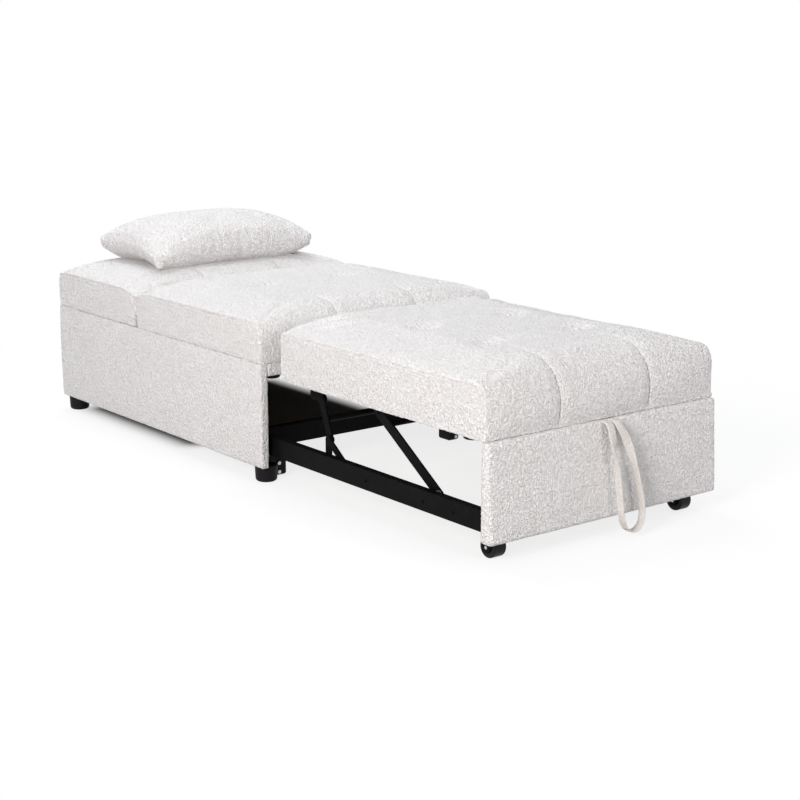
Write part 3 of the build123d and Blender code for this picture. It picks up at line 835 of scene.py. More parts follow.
@dataclass(frozen=True)
class Studio:
    """Camera, lamps, world and floor."""

    camera_place: Place = (-2.5764, -3.4827, 1.1546)
    camera_target: Place = (-0.0757, -0.2814, 0.200)
    lens: float = 78.75
    sensor: float = 36.0
    world_light: Colour = (0.43, 0.44, 0.455)
    world_seen: Colour = (1.0, 1.0, 1.0)
    floor_radius: float = 6.0
    floor_colour: Colour = (0.55, 0.55, 0.55)
    floor_seen: Colour = (0.98, 0.98, 0.98)
    # the floor's dark colour between the base's side panels: painted shade under the bed
    painted_bay_shade: Colour = (0.16, 0.16, 0.165)
    fade_start: float = 0.9
    fade_end: float = 1.8
    near_white: float = 0.80
    bay_edge: float = 0.09
    bay_shade_from: float = 0.26

    def build(self) -> None:
        """Build the whole set."""
        self.camera()
        for lamp in LAMPS:
            lamp.build()
        self.world()
        self.floor()
        bpy.context.scene.view_settings.view_transform = "Standard"

    def camera(self) -> None:
        """Put the camera where the photograph was taken from."""
        data = bpy.data.cameras.new("camera")
        data.lens = self.lens
        data.sensor_width = self.sensor
        camera = link_to_scene("camera", data)
        aim(camera, self.camera_place, self.camera_target)
        bpy.context.scene.camera = camera

    def seen_directly(self, tree: Tree) -> bpy.types.NodeSocket:
        """Tell the rays that see a surface directly from those that only carry its light.

        Args:
            tree: the node tree to add to.

        Returns:
            The socket with 1 for camera, glossy and transmission rays, and 0 for the rest.
        """
        path = tree.add("ShaderNodeLightPath").outputs
        either = tree.math("MAXIMUM", path["Is Camera Ray"], path["Is Glossy Ray"])
        return tree.math("MAXIMUM", either, path["Is Transmission Ray"])

    def world(self) -> None:
        """Light the set evenly, and show white behind it."""
        world = bpy.data.worlds.new("studio")
        bpy.context.scene.world = world
        world.use_nodes = True
        tree = Tree(world.node_tree)
        colour = tree.mix(self.seen_directly(tree), self.world_light, self.world_seen)
        light = tree.add("ShaderNodeBackground", {"Color": colour})
        tree.add("ShaderNodeOutputWorld", {"Surface": light.outputs[0]})

    def within(
        self, tree: Tree, value: bpy.types.NodeSocket, low: float, high: float
    ) -> bpy.types.NodeSocket:
        """Return 1 between two places along an axis, and 0 outside them, with soft ends.

        Args:
            tree: the floor's node tree.
            value: the socket with the coordinate.
            low: the lower place.
            high: the higher place.

        Returns:
            The socket with the mask.
        """
        ends = [
            tree.add(
                "ShaderNodeMapRange",
                {"Value": value, "From Min": edge, "From Max": edge + inwards},
                interpolation_type="SMOOTHSTEP",
            ).outputs[0]
            for edge, inwards in ((low, self.bay_edge), (high, -self.bay_edge))
        ]
        return tree.math("MULTIPLY", *ends)

    def bay_mask(self, tree: Tree, place: bpy.types.NodeSocket) -> bpy.types.NodeSocket:
        """Return 1 on the floor between the base's side panels, where the shade is painted, and 0 outside
        them.

        Args:
            tree: the floor's node tree.
            place: the socket with the floor's coordinates.

        Returns:
            The socket with the mask.
        """
        low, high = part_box("side_cover_left")[0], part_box("side_cover_right")[1]
        axes = tree.add("ShaderNodeSeparateXYZ", {0: place}).outputs
        across = self.within(tree, axes["X"], low.x, high.x)
        along = self.within(tree, axes["Y"], self.bay_shade_from, high.y)
        return tree.math("MULTIPLY", across, along)

    def floor(self) -> None:
        """Add a pale floor that keeps the bed's shadow and fades to white, with painted shade on the floor
        between the base's side panels.
        """
        bpy.ops.object.select_all(action="DESELECT")
        bpy.ops.mesh.primitive_circle_add(vertices=96, radius=self.floor_radius, fill_type="NGON")
        floor = bpy.context.active_object
        floor.name = "floor"
        material, tree = new_material("floor")
        place = tree.add("ShaderNodeTexCoord").outputs["Object"]
        distance = tree.add("ShaderNodeVectorMath", {0: place}, operation="LENGTH").outputs["Value"]
        fade = tree.add(
            "ShaderNodeMapRange",
            {
                "Value": distance,
                "From Min": self.fade_start,
                "From Max": self.fade_end,
                "To Min": self.near_white,
            },
            interpolation_type="SMOOTHSTEP",
        )
        bay = self.bay_mask(tree, place)
        outside = tree.math("SUBTRACT", 1.0, bay)
        direct = self.seen_directly(tree)
        # painted shade: between the side panels the floor takes a dark colour for every ray
        under = tree.mix(bay, self.floor_colour, self.painted_bay_shade)
        colour = tree.mix(tree.math("MULTIPLY", direct, outside), under, self.floor_seen)
        matt = tree.add("ShaderNodeBsdfDiffuse", {"Color": colour})
        white = tree.add("ShaderNodeEmission", {"Strength": 1.0})
        open_floor = tree.math("MULTIPLY", fade.outputs[0], outside)
        far = tree.math("MULTIPLY", open_floor, direct)
        both = tree.add("ShaderNodeMixShader", {0: far, 1: matt.outputs[0], 2: white.outputs[0]})
        tree.add("ShaderNodeOutputMaterial", {"Surface": both.outputs[0]})
        floor.data.materials.append(material)


# Pull strap


def superellipse(value: float, squareness: float) -> float:
    """Push a cosine or a sine outwards, so that a ring of them is a rounded rectangle."""
    return math.copysign(abs(value) ** (2 / squareness), value)


@dataclass(frozen=True)
class PullStrap:
    """A flat strip of folded boucle that hangs as one loop from the seam above the front panel."""

    width: float = 0.020
    thickness: float = 0.0044
    length: float = 0.554
    ring: int = 14
    squareness: float = 3.2
    flat_share: float = 0.07
    turned_share: float = 0.24
    lumps: Unevenness = Unevenness(0.004, 0.0009)

    def route(self) -> list[Vector]:
        """Return the route's points, out of the seam, round the loop and back."""
        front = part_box("front_cover")[0].y
        return [
            Vector((-0.008, front + 0.006, 0.2595)),
            Vector((-0.008, front - 0.009, 0.260)),
            Vector((-0.007, front - 0.019, 0.249)),
            Vector((-0.004, front - 0.024, 0.222)),
            Vector((0.001, front - 0.027, 0.183)),
            Vector((0.006, front - 0.031, 0.138)),
            Vector((0.009, front - 0.035, 0.092)),
            Vector((0.011, front - 0.038, 0.054)),
            Vector((0.020, front - 0.039, 0.027)),
            Vector((0.038, front - 0.039, 0.014)),
            Vector((0.058, front - 0.039, 0.015)),
            Vector((0.073, front - 0.039, 0.030)),
            Vector((0.077, front - 0.037, 0.060)),
            Vector((0.070, front - 0.034, 0.104)),
            Vector((0.059, front - 0.030, 0.148)),
            Vector((0.046, front - 0.026, 0.190)),
            Vector((0.032, front - 0.023, 0.226)),
            Vector((0.019, front - 0.018, 0.247)),
            Vector((0.015, front - 0.009, 0.260)),
            Vector((0.015, front + 0.006, 0.2595)),
        ]

    def line(self) -> np.ndarray:
        """Read the smooth line through the route from its spline.

        Returns:
            The line's points, one row each.
        """
        curve = bpy.data.curves.new("strap_route", "CURVE")
        curve.dimensions = "3D"
        spline = curve.splines.new("NURBS")
        route = self.route()
        spline.points.add(len(route) - 1)
        for held, place in zip(spline.points, route):
            held.co = (*place, 1.0)
        spline.order_u = 3
        spline.use_endpoint_u = True
        spline.resolution_u = 10
        holder = link_to_scene("strap_route", curve)
        mesh = bpy.data.meshes.new_from_object(holder)
        places = np.array([list(vertex.co) for vertex in mesh.vertices])
        bpy.data.objects.remove(holder)
        return places

    def sections(self, line: np.ndarray) -> np.ndarray:
        """Lay a flat rounded section round each point of the line, turned edge-on below the seam.

        Args:
            line: the strap's line.

        Returns:
            The sections' points: one row for each point of the line, and one column for each corner.
        """
        steps = np.linalg.norm(np.diff(line, axis=0), axis=1)
        share = np.concatenate([[0], np.cumsum(steps)]) / steps.sum()
        tangents = np.gradient(line, axis=0)
        tangents /= np.linalg.norm(tangents, axis=1, keepdims=True)
        from_end = np.minimum(share, 1 - share)
        turn = smooth_step(from_end, self.flat_share, self.turned_share) * math.pi / 2
        wide = np.stack([np.cos(turn), np.sin(turn), np.zeros(len(turn))], axis=1)
        wide[share > 0.5, 0] *= -1
        wide -= (wide * tangents).sum(axis=1, keepdims=True) * tangents
        wide /= np.linalg.norm(wide, axis=1, keepdims=True)
        thick = np.cross(tangents, wide)
        rings = []
        for corner in range(self.ring):
            angle = 2 * math.pi * corner / self.ring
            across = superellipse(math.cos(angle), self.squareness)
            through = superellipse(math.sin(angle), self.squareness)
            rings.append(line + wide * across * self.width / 2 + thick * through * self.thickness / 2)
        return np.stack(rings, axis=1)

    def faces(self, count: int) -> list[tuple[int, ...]]:
        """Join the sections into a closed tube.

        Args:
            count: the number of sections.

        Returns:
            The faces, as numbers of their vertices.
        """
        ring = self.ring
        faces: list[tuple[int, ...]] = []
        for row in range(count - 1):
            here, after = row * ring, (row + 1) * ring
            for corner in range(ring):
                beside = (corner + 1) % ring
                faces.append((here + corner, after + corner, after + beside, here + beside))
        faces.append(tuple(range(ring)))
        faces.append(tuple(reversed(range((count - 1) * ring, count * ring))))
        return faces

    def build(self, finish: bpy.types.Material) -> None:
        """Sweep the strap's section along its line.

        Args:
            finish: the material.
        """
        line = self.line()
        sections = self.sections(line)
        mesh = bpy.data.meshes.new("strap")
        mesh.from_pydata(sections.reshape(-1, 3).tolist(), [], self.faces(len(line)))
        strap = link_to_scene("strap", mesh)
        activate(strap)
        bpy.ops.object.mode_set(mode="EDIT")
        bpy.ops.mesh.select_all(action="SELECT")
        bpy.ops.mesh.normals_make_consistent(inside=False)
        bpy.ops.object.mode_set(mode="OBJECT")
        subdivide(strap)
        self.lumps.press(strap)
        hand_over(strap, Body.DRAWER, finish, ["pull_strap"])


# Pads


@dataclass(frozen=True)
class Dart:
    """A sewn line at one x, from a pad's front edge over its top and down its front face."""

    x: float
    length: float
    fade_from: float = 0.75


@dataclass(frozen=True)
class Sewing:
    """How deep and how wide the seams, darts and tufts of a pad are."""

    groove: float = 0.0024
    groove_width: float = 0.0017
    lip: float = 0.0008
    lip_place: float = 0.0045
    lip_width: float = 0.002
    crease: float = 0.0045
    crease_width: float = 0.0016
    crease_pull: float = 0.0035
    crease_reach: float = 0.014
    dish: float = 0.017
    dish_width: float = 0.027
    dish_stretch: float = 1.35
    tack: float = 0.012
    tack_length: float = 0.014
    tack_width: float = 0.0050
    ripple: float = 0.0014
    ripple_count: int = 9
    ripple_turn: float = 1.7
    ripple_place: float = 0.018
    ripple_width: float = 0.010

    def seam(self, distance: np.ndarray) -> np.ndarray:
        """Return how deep a seam sinks at a distance from it, with a proud lip beside it."""
        sunk = self.groove * bell(distance, self.groove_width)
        return sunk - self.lip * bell(distance - self.lip_place, self.lip_width)

    def dart(self, across: np.ndarray) -> np.ndarray:
        """Return how deep a dart sinks at a distance from its line."""
        narrow = self.crease * bell(across, self.crease_width)
        return narrow + self.crease_pull * bell(across, self.crease_reach)

    def tuft(self, run: np.ndarray, rise: np.ndarray, index: int) -> np.ndarray:
        """Work out how deep a tuft sinks: its dish, the tack in its middle and the folds round it.

        Args:
            run: each point's distance from the tuft's middle along x.
            rise: each point's distance from it along y.
            index: the tuft's number, which turns its folds.

        Returns:
            The depth at each point.
        """
        radius = np.hypot(run / self.dish_stretch, rise)
        angle = np.arctan2(rise, run)
        dish = self.dish * bell(radius, self.dish_width)
        tack = self.tack * np.exp(-((run / self.tack_length) ** 4) - ((rise / self.tack_width) ** 2))
        folds = self.ripple * np.sin(self.ripple_count * angle + self.ripple_turn * index)
        return dish + tack + folds * bell(radius - self.ripple_place, self.ripple_width)


SEWING = Sewing()


@dataclass(frozen=True)
class Bands:
    """How far from a pad's edges, seams, darts and tufts each step of the modelling reaches."""

    held_side: float = 0.010
    held_seam: float = 0.008
    held_bottom: float = 0.004
    fine_seam: float = 0.009
    fine_dart: float = 0.011
    fine_tuft: float = 0.040
    finest_dart: float = 0.005
    finest_tack_x: float = 0.020
    finest_tack_y: float = 0.009
    panel: float = 0.02
    panel_turn: float = 0.3
    panel_flat: float = 0.6
    hem: float = 0.006
    top: float = 0.02


BANDS = Bands()


@dataclass
class Pad:
    """A foam block in a boucle cover: flat side panels sewn to one strip that rolls over the top.

    The crown is the rise of the strip above the side seams. It is held back at the two ends by
    front_hold and rear_hold, and reaches its full height after front_fall and rear_fall. Where an
    end meets another pad, front_bulge or rear_bulge is the share of its swelling that it keeps.
    """

    name: str
    body: Body
    nodes: tuple[str, ...]
    low: Vector
    high: Vector
    seam: float
    reach: float
    front_round: float
    rear_round: float
    front_hold: float
    rear_hold: float
    front_fall: float
    rear_fall: float
    front_dip: float = 0.0
    rear_dip: float = 0.0
    front_bulge: float = 1.0
    rear_bulge: float = 1.0
    tufts: tuple[tuple[float, float], ...] = ()
    darts: tuple[Dart, ...] = ()
    side_round: float = 0.007
    bottom_round: float = 0.005
    voxel: float = 0.007
    dip_reach: float = 0.075
    seam_inset: float = 0.0045
    outline_share: float = 0.8
    crown_from: float = 0.4
    fill: float = 0.85

    def seam_drop(self, points: np.ndarray) -> np.ndarray:
        """Work out how far the side seam dips near the pad's two ends.

        Args:
            points: the points, one row each.

        Returns:
            The dip at each point.
        """
        front = 1 - smooth_step(points[:, 1], self.low.y, self.low.y + self.dip_reach)
        rear = smooth_step(points[:, 1], self.high.y - self.dip_reach, self.high.y)
        return self.front_dip * front + self.rear_dip * rear

    def from_side(self, points: np.ndarray) -> np.ndarray:
        """Return each point's distance from the nearer side panel."""
        middle, half = (self.high.x + self.low.x) / 2, (self.high.x - self.low.x) / 2
        return half - np.abs(points[:, 0] - middle)

    def crown(self, piece: bpy.types.Object) -> None:
        """Lift the top between the side seams and lower it at the dips.

        Args:
            piece: the pad's piece.
        """
        points = points_of(piece)
        across = dome(self.from_side(points), self.reach)
        from_front, from_rear = points[:, 1] - self.low.y, self.high.y - points[:, 1]
        front = self.front_hold + (1 - self.front_hold) * dome(from_front, self.front_fall)
        rear = self.rear_hold + (1 - self.rear_hold) * dome(from_rear, self.rear_fall)
        start = self.low.z + self.crown_from * (self.seam - self.low.z)
        grow = smooth_step(points[:, 2], start, self.seam)
        rise = self.high.z - self.seam
        points[:, 2] += (rise * across * np.minimum(front, rear) - self.seam_drop(points)) * grow
        set_points(piece, points)

    def seam_distance(self, points: np.ndarray) -> np.ndarray:
        """Work out each point's distance from the sewn outline of the side panel, seen from the side.

        Args:
            points: the points, one row each.

        Returns:
            The distances.
        """
        radius = max(self.front_round, self.rear_round) * self.outline_share
        middle_y, half_y = (self.low.y + self.high.y) / 2, (self.high.y - self.low.y) / 2
        z = points[:, 2] + self.seam_drop(points) * smooth_step(points[:, 2], self.low.z, self.seam)
        out_y = np.abs(points[:, 1] - middle_y) - half_y + radius
        out_z = z - self.seam + radius
        outside = np.hypot(np.maximum(out_y, 0), np.maximum(out_z, 0))
        inside = np.minimum(np.maximum(out_y, out_z), 0)
        return np.abs(outside + inside - radius + self.seam_inset)

    def dart_share(self, points: np.ndarray, dart: Dart) -> np.ndarray:
        """Return 1 along a dart's line and 0 past its end on the top."""
        depth = np.abs(points[:, 1] - self.low.y)
        return 1 - smooth_step(depth, dart.fade_from * dart.length, dart.length)

    def sew(self, piece: bpy.types.Object) -> None:
        """Draw in the side seams, the darts and the tufts.

        Args:
            piece: the pad's piece.
        """
        points, normals = points_of(piece), normals_of(piece)
        on_side = smooth_step(np.abs(normals[:, 0]), BANDS.panel_turn, BANDS.panel_flat)
        on_side *= self.from_side(points) < BANDS.panel
        sunk = on_side * SEWING.seam(self.seam_distance(points))
        above_hem = points[:, 2] > self.low.z + BANDS.hem
        for dart in self.darts:
            pull = SEWING.dart(np.abs(points[:, 0] - dart.x))
            sunk += pull * self.dart_share(points, dart) * above_hem
        on_top = points[:, 2] > self.seam - BANDS.top
        for index, (x, y) in enumerate(self.tufts):
            sunk += SEWING.tuft(points[:, 0] - x, points[:, 1] - y, index) * on_top
        set_points(piece, points - normals * sunk[:, None])

    def on_dart(self, centres: np.ndarray, width: float) -> np.ndarray:
        """Find the faces on the darts.

        Args:
            centres: the faces' centres, one row each.
            width: the furthest that a face may lie from a dart's line.

        Returns:
            Which faces lie there.
        """
        chosen = np.zeros(len(centres), bool)
        for dart in self.darts:
            chosen |= (np.abs(centres[:, 0] - dart.x) < width) & (self.dart_share(centres, dart) > 0)
        return chosen

    def on_seam(self, points: np.ndarray, width: float) -> np.ndarray:
        """Return which points lie within a width of the side seams."""
        return (self.from_side(points) < BANDS.held_side) & (self.seam_distance(points) < width)

    def near_sewing(self, centres: np.ndarray) -> np.ndarray:
        """Find the faces close to a seam, dart or tuft.

        Args:
            centres: the faces' centres, one row each.

        Returns:
            Which faces lie there.
        """
        chosen = self.on_seam(centres, BANDS.fine_seam)
        chosen &= centres[:, 2] > self.low.z + BANDS.held_bottom
        chosen |= self.on_dart(centres, BANDS.fine_dart)
        for x, y in self.tufts:
            chosen |= np.hypot(centres[:, 0] - x, centres[:, 1] - y) < BANDS.fine_tuft
        return chosen

    def near_darts(self, centres: np.ndarray) -> np.ndarray:
        """Find the faces on a dart or a tuft's tack.

        Args:
            centres: the faces' centres, one row each.

        Returns:
            Which faces lie there.
        """
        chosen = self.on_dart(centres, BANDS.finest_dart)
        for x, y in self.tufts:
            run, rise = np.abs(centres[:, 0] - x), np.abs(centres[:, 1] - y)
            chosen |= (run < BANDS.finest_tack_x) & (rise < BANDS.finest_tack_y)
        return chosen

    def top_end(self, front: bool) -> EdgeTest:
        """Return the test for the block's top edge across one end."""
        middle_z, middle_y = (self.low.z + self.seam) / 2, (self.low.y + self.high.y) / 2
        return lambda a, b: (
            min(a.z, b.z) > middle_z
            and abs(a.x - b.x) > TINY
            and all((v.y < middle_y) == front for v in (a, b))
        )

    def side_edge(self, bottom: bool) -> EdgeTest:
        """Return the test for the edges round the side panels, at the bottom or above it."""
        return lambda a, b: (
            any(abs(a.x - x) < TINY and abs(b.x - x) < TINY for x in (self.low.x, self.high.x))
            and (max(a.z, b.z) < self.low.z + TINY) == bottom
        )

    def build(self, finish: bpy.types.Material) -> None:
        """Model the pad from a block: round, remesh, crown, swell, sew and roughen it.

        Args:
            finish: the material.
        """
        piece = block(self.name, self.low, Vector((self.high.x, self.high.y, self.seam)))
        round_edges(piece, self.top_end(True), self.front_round, 7)
        round_edges(piece, self.top_end(False), self.rear_round, 7)
        round_edges(piece, self.side_edge(False), self.side_round, 3)
        round_edges(piece, self.side_edge(True), self.bottom_round, 2)
        remesh(piece, self.voxel)
        self.crown(piece)
        points = points_of(piece)
        at_bottom = points[:, 2] < self.low.z + BANDS.held_bottom
        Swelling().blow(piece, self.on_seam(points, BANDS.held_seam) | at_bottom)
        subdivide(piece)
        refine(piece, self.near_sewing)
        refine(piece, self.near_darts)
        self.sew(piece)
        SLOW_WAVES.press(piece)
        CURLS.press(piece)
        self.settle(piece)
        hand_over(piece, self.body, finish, self.nodes)

    def settle(self, piece: bpy.types.Object) -> None:
        """Keep the underside flat where it rests, and an end that meets another pad flatter.

        Args:
            piece: the pad's piece.
        """
        points = points_of(piece)
        points[:, 2] = np.maximum(points[:, 2], self.low.z)
        points[:, 1] += (1 - self.front_bulge) * np.maximum(self.low.y - points[:, 1], 0)
        points[:, 1] -= (1 - self.rear_bulge) * np.maximum(points[:, 1] - self.high.y, 0)
        set_points(piece, points)


@dataclass
class OpenPad(Pad):
    """A pad whose cover runs down over a box of boards, laps under their edges and is open below."""

    side_lap: float = 0.016
    front_lap: float = 0.028
    ceiling: float = 0.3352
    hem_squeeze: float = 0.75
    hem_start: float = 0.005
    hem_top: float = 0.014
    hem_depth: float = 0.006
    hem_fade: float = 0.014
    lap_height: float = 0.006

    def settle(self, piece: bpy.types.Object) -> None:
        """Flatten the lap under the boards and push the rest of the underside up to the foam.

        Args:
            piece: the pad's piece.
        """
        super().settle(piece)
        points = points_of(piece)
        low_down = 1 - smooth_step(points[:, 2], self.low.z + self.hem_start, self.low.z + self.hem_top)
        for axis in (0, 1):
            middle, half = (self.high[axis] + self.low[axis]) / 2, (self.high[axis] - self.low[axis]) / 2
            out = points[:, axis] - middle
            depth = half - np.abs(out)
            squeeze = self.hem_squeeze * low_down * (1 - smooth_step(depth, self.hem_depth, self.hem_fade))
            points[:, axis] = middle + np.sign(out) * (half - depth * (1 - squeeze))
        below = points[:, 2] < self.low.z + self.lap_height
        below &= self.from_side(points) > self.side_lap
        below &= (points[:, 1] > self.low.y + self.front_lap) & (points[:, 1] < self.high.y - self.side_lap)
        points[below, 2] = self.ceiling
        set_points(piece, points)


@dataclass(frozen=True)
class Pillow:
    """A loose stuffed pillow: two sheets sewn round the edge, with drooping corners."""

    seam: float = 0.478
    top: float = 0.063
    bottom: float = 0.066
    bed: float = 0.4146
    slab: float = 0.024
    corner: float = 0.030
    voxel: float = 0.006
    draw: float = 0.012
    overhang: float = 0.010
    edge: float = 0.0018
    top_spread: tuple[float, float] = (0.80, 0.95)
    bottom_spread: tuple[float, float] = (0.50, 0.42)
    fullness: float = 0.8
    droop_power: float = 2.4
    hem: float = 0.10
    puckers: tuple[tuple[float, float], ...] = ((0.0005, 0.031), (0.0003, 0.019))
    sewn_below: float = 0.12
    swelling: Swelling = Swelling(cap=0.010, pressure=5.0)
    lumps: Unevenness = Unevenness(0.07, 0.005)
    fill: float = 0.8
    droops: tuple[tuple[int, int, float], ...] = (
        (-1, -1, 0.036),
        (1, -1, 0.014),
        (-1, 1, 0.012),
        (1, 1, 0.012),
    )

    def fatness(self, u: np.ndarray, v: np.ndarray, spread: tuple[float, float]) -> np.ndarray:
        """Return how far one half of the pillow is filled, from 0 at its edge to 1."""
        return (dome(1 - np.abs(u), spread[0]) * dome(1 - np.abs(v), spread[1])) ** self.fullness

    def puff(self, piece: bpy.types.Object, centre: Vector, reach: Vector) -> np.ndarray:
        """Lift the slab's two halves, draw its sides in and let its corners droop.

        Args:
            piece: the pillow's piece.
            centre: the middle of the slab.
            reach: half of the slab's size along each axis.

        Returns:
            How far the pillow is filled at each vertex, from 0 to 1.
        """
        points = points_of(piece)
        u, v, side = (np.clip((points[:, i] - centre[i]) / reach[i], -1, 1) for i in range(3))
        above = self.fatness(u, v, self.top_spread)
        below = self.fatness(u, v, self.bottom_spread)
        fat = np.where(side > 0, above, below)
        points[:, 0] -= np.sign(u) * self.draw * np.abs(u) ** 3 * (1 - v * v)
        points[:, 1] -= np.sign(v) * self.draw * np.abs(v) ** 3 * (1 - u * u)
        rise = np.where(side > 0, self.top, self.bottom) * fat + self.edge
        points[:, 2] = centre.z + side * rise
        for end_x, end_y, drop in self.droops:
            near_x, near_y = np.clip(u * end_x, 0, 1), np.clip(v * end_y, 0, 1)
            points[:, 2] -= drop * (near_x**self.droop_power * near_y**self.droop_power)
        set_points(piece, points)
        return fat

    def pucker(self, piece: bpy.types.Object, centre: Vector, half: Vector) -> None:
        """Gather the cloth a little along the seam round the edge.

        Args:
            piece: the pillow's piece.
            centre: the middle of the pillow.
            half: half of the pillow's size along each axis.
        """
        points, normals = points_of(piece), normals_of(piece)
        u, v = (np.clip((points[:, i] - centre[i]) / half[i], -1, 1) for i in range(2))
        hem = bell(1 - np.maximum(np.abs(u), np.abs(v)), self.hem)
        along = np.where(np.abs(u) > np.abs(v), v * half.y, u * half.x)
        folds = sum(height * np.sin(along * 2 * math.pi / step) for height, step in self.puckers)
        points += normals * (folds * hem)[:, None]
        set_points(piece, points)

    def build(self, finish: bpy.types.Material) -> None:
        """Model the pillow from a slab: puff, swell, pucker and roughen it.

        Args:
            finish: the material.
        """
        low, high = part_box("pillow")
        middle, half = (low + high) / 2, (high - low) / 2
        reach = Vector((half.x + self.overhang, half.y + self.overhang, self.slab / 2))
        centre = Vector((middle.x, middle.y, self.seam))
        piece = block("loose_pillow", centre - reach, centre + reach)
        round_edges(piece, lambda a, b: abs(a.z - b.z) > TINY, self.corner, 5)
        remesh(piece, self.voxel)
        fat = self.puff(piece, centre, reach)
        self.swelling.blow(piece, fat < self.sewn_below)
        subdivide(piece)
        self.pucker(piece, centre, half)
        self.lumps.press(piece)
        CURLS.press(piece)
        points = points_of(piece)
        points[:, 2] = np.maximum(points[:, 2], self.bed)
        set_points(piece, points)
        hand_over(piece, Body.PILLOW, finish, ["pillow"])


# Upholstered boards


@dataclass(frozen=True)
class Panels:
    """The base's wrap, the rail under the seat and the drawer's front panel."""

    wrap_voxel: float = 0.0042
    box_voxel: float = 0.0036
    hidden_gap: float = 0.0005
    corner: float = 0.010
    hem: float = 0.003
    lid: float = 0.0009
    lid_margin: float = 0.002
    wrap_belly: float = 0.0016
    skin: float = 0.008
    front_skin: float = 0.012
    face_lift: float = 0.0012
    face_belly: float = 0.0022
    face_turn: float = 0.003
    overcut: float = 0.1
    upright: float = 0.1
    slow_waves: Unevenness = Unevenness(0.16, 0.0022)

    def roughen(self, piece: bpy.types.Object, outer: np.ndarray) -> None:
        """Press slow waves and curls into the outer side of a piece.

        Args:
            piece: the piece to roughen.
            outer: which vertices are on its outer side.
        """
        group = piece.vertex_groups.new(name="outer")
        group.add(np.flatnonzero(outer).tolist(), 1.0, "REPLACE")
        self.slow_waves.press(piece, "outer")
        BOARD_CURLS.press(piece, "outer")
        piece.vertex_groups.remove(piece.vertex_groups["outer"])

    def wrap_block(self, low: Vector, high: Vector, inner_x: float, back: float) -> bpy.types.Object:
        """Cut the U of the base's wrap out of a block and round its outer edges.

        Args:
            low: the wrap's lowest corner.
            high: its highest corner.
            inner_x: the inner face of its left side.
            back: the inner face of its back.

        Returns:
            The wrap's piece, evenly meshed.
        """
        wrap = block("base_wrap", low, high + Vector((0, 0, self.lid)))
        round_edges(wrap, lambda a, b: abs(a.z - b.z) > TINY and min(a.y, b.y) > 0, self.corner, 4)
        bay = block(
            "bay_space",
            Vector((inner_x, low.y - self.overcut, low.z - self.overcut)),
            Vector((-inner_x, back - self.hidden_gap, high.z + self.overcut)),
        )
        apply_modifier(wrap, "BOOLEAN", object=bay, operation="DIFFERENCE", solver="EXACT")
        bpy.data.objects.remove(bay)
        rear = high.y - self.corner - TINY

        def on_outline(end: Vector) -> bool:
            """Return whether an edge's end lies on the outer side of the U."""
            return abs(end.x - low.x) < TINY or abs(end.x - high.x) < TINY or end.y > rear

        round_edges(
            wrap,
            lambda a, b: abs(a.z - b.z) < TINY and on_outline(a) and on_outline(b),
            self.hem,
            3,
        )
        round_edges(
            wrap,
            lambda a, b: abs(a.z - b.z) > self.upright and max(a.y, b.y) < low.y + TINY,
            self.hem,
            3,
        )
        remesh(wrap, self.wrap_voxel)
        return wrap

    def base_wrap(self, finish: bpy.types.Material) -> None:
        """Model the cover over the side and back boards as one U with soft corners.

        Args:
            finish: the material.
        """
        left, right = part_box("side_cover_left"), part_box("side_cover_right")
        low, high = left[0], right[1]
        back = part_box("back_cover")[0].y
        inner_x = left[1].x - self.hidden_gap
        wrap = self.wrap_block(low, high, inner_x, back)
        points = points_of(wrap)
        middle = (low.z + high.z) / 2
        share = np.clip(np.abs(points[:, 2] - middle) / (high.z - middle), 0, 1)
        outer = (np.abs(points[:, 0]) > -inner_x + self.skin) | (points[:, 1] > back + self.skin)
        outer |= points[:, 1] < low.y + self.front_skin
        belly = self.wrap_belly * (1 - share**4) * outer
        points += normals_of(wrap) * belly[:, None]
        set_points(wrap, points)
        self.roughen(wrap, outer)
        points = points_of(wrap)
        lid = (points[:, 2] > high.z - self.lid_margin) & (np.abs(points[:, 0]) < high.x - self.lid_margin)
        lid &= (points[:, 1] > low.y + self.lid_margin) & (points[:, 1] < high.y - self.lid_margin)
        points[lid, 2] = high.z + self.lid / 2
        set_points(wrap, points)
        nodes = ["side_cover_left", "side_cover_right", "back_cover"]
        hand_over(wrap, Body.BASE, finish, nodes)

    def soft_box(
        self, name: str, node: str, body: Body, finish: bpy.types.Material, rounding: float, flare: float
    ) -> None:
        """Model a covered board as a box with soft front edges and a slightly full face.

        Args:
            name: the piece's name.
            node: the solid that it replaces.
            body: the body that it rides on.
            finish: the material.
            rounding: the radius of its front edges.
            flare: how far its face leans out at the bottom.
        """
        low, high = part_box(node)
        piece = block(name, low, high)
        middle_y = (low.y + high.y) / 2
        round_edges(piece, lambda a, b: min(a.y, b.y) < middle_y, rounding, 4)
        remesh(piece, self.box_voxel)
        points = points_of(piece)
        middle, half = (low + high) / 2, (high - low) / 2
        u = np.clip(np.abs(points[:, 0] - middle.x) / half.x, 0, 1)
        w = np.clip(np.abs(points[:, 2] - middle.z) / half.z, 0, 1)
        front = smooth_step(-points[:, 1], -middle_y, -low.y - self.face_turn)
        lean = flare * np.clip((high.z - points[:, 2]) / (high.z - low.z), 0, 1)
        belly = self.face_belly * (1 - u**6) * (1 - w**4)
        points[:, 1] -= (self.face_lift + belly + lean) * front
        set_points(piece, points)
        self.roughen(piece, np.ones(len(points), bool))
        hand_over(piece, body, finish, [node])

    def build(self, finish: bpy.types.Material) -> None:
        """Build the three covered pieces.

        Args:
            finish: the material.
        """
        self.base_wrap(finish)
        self.soft_box(
            "seat_rail_wrap", "front_rail_cover", Body.BASE, finish, rounding=0.004, flare=0.0
        )
        self.soft_box("front_panel", "front_cover", Body.DRAWER, finish, rounding=0.006, flare=0.012)


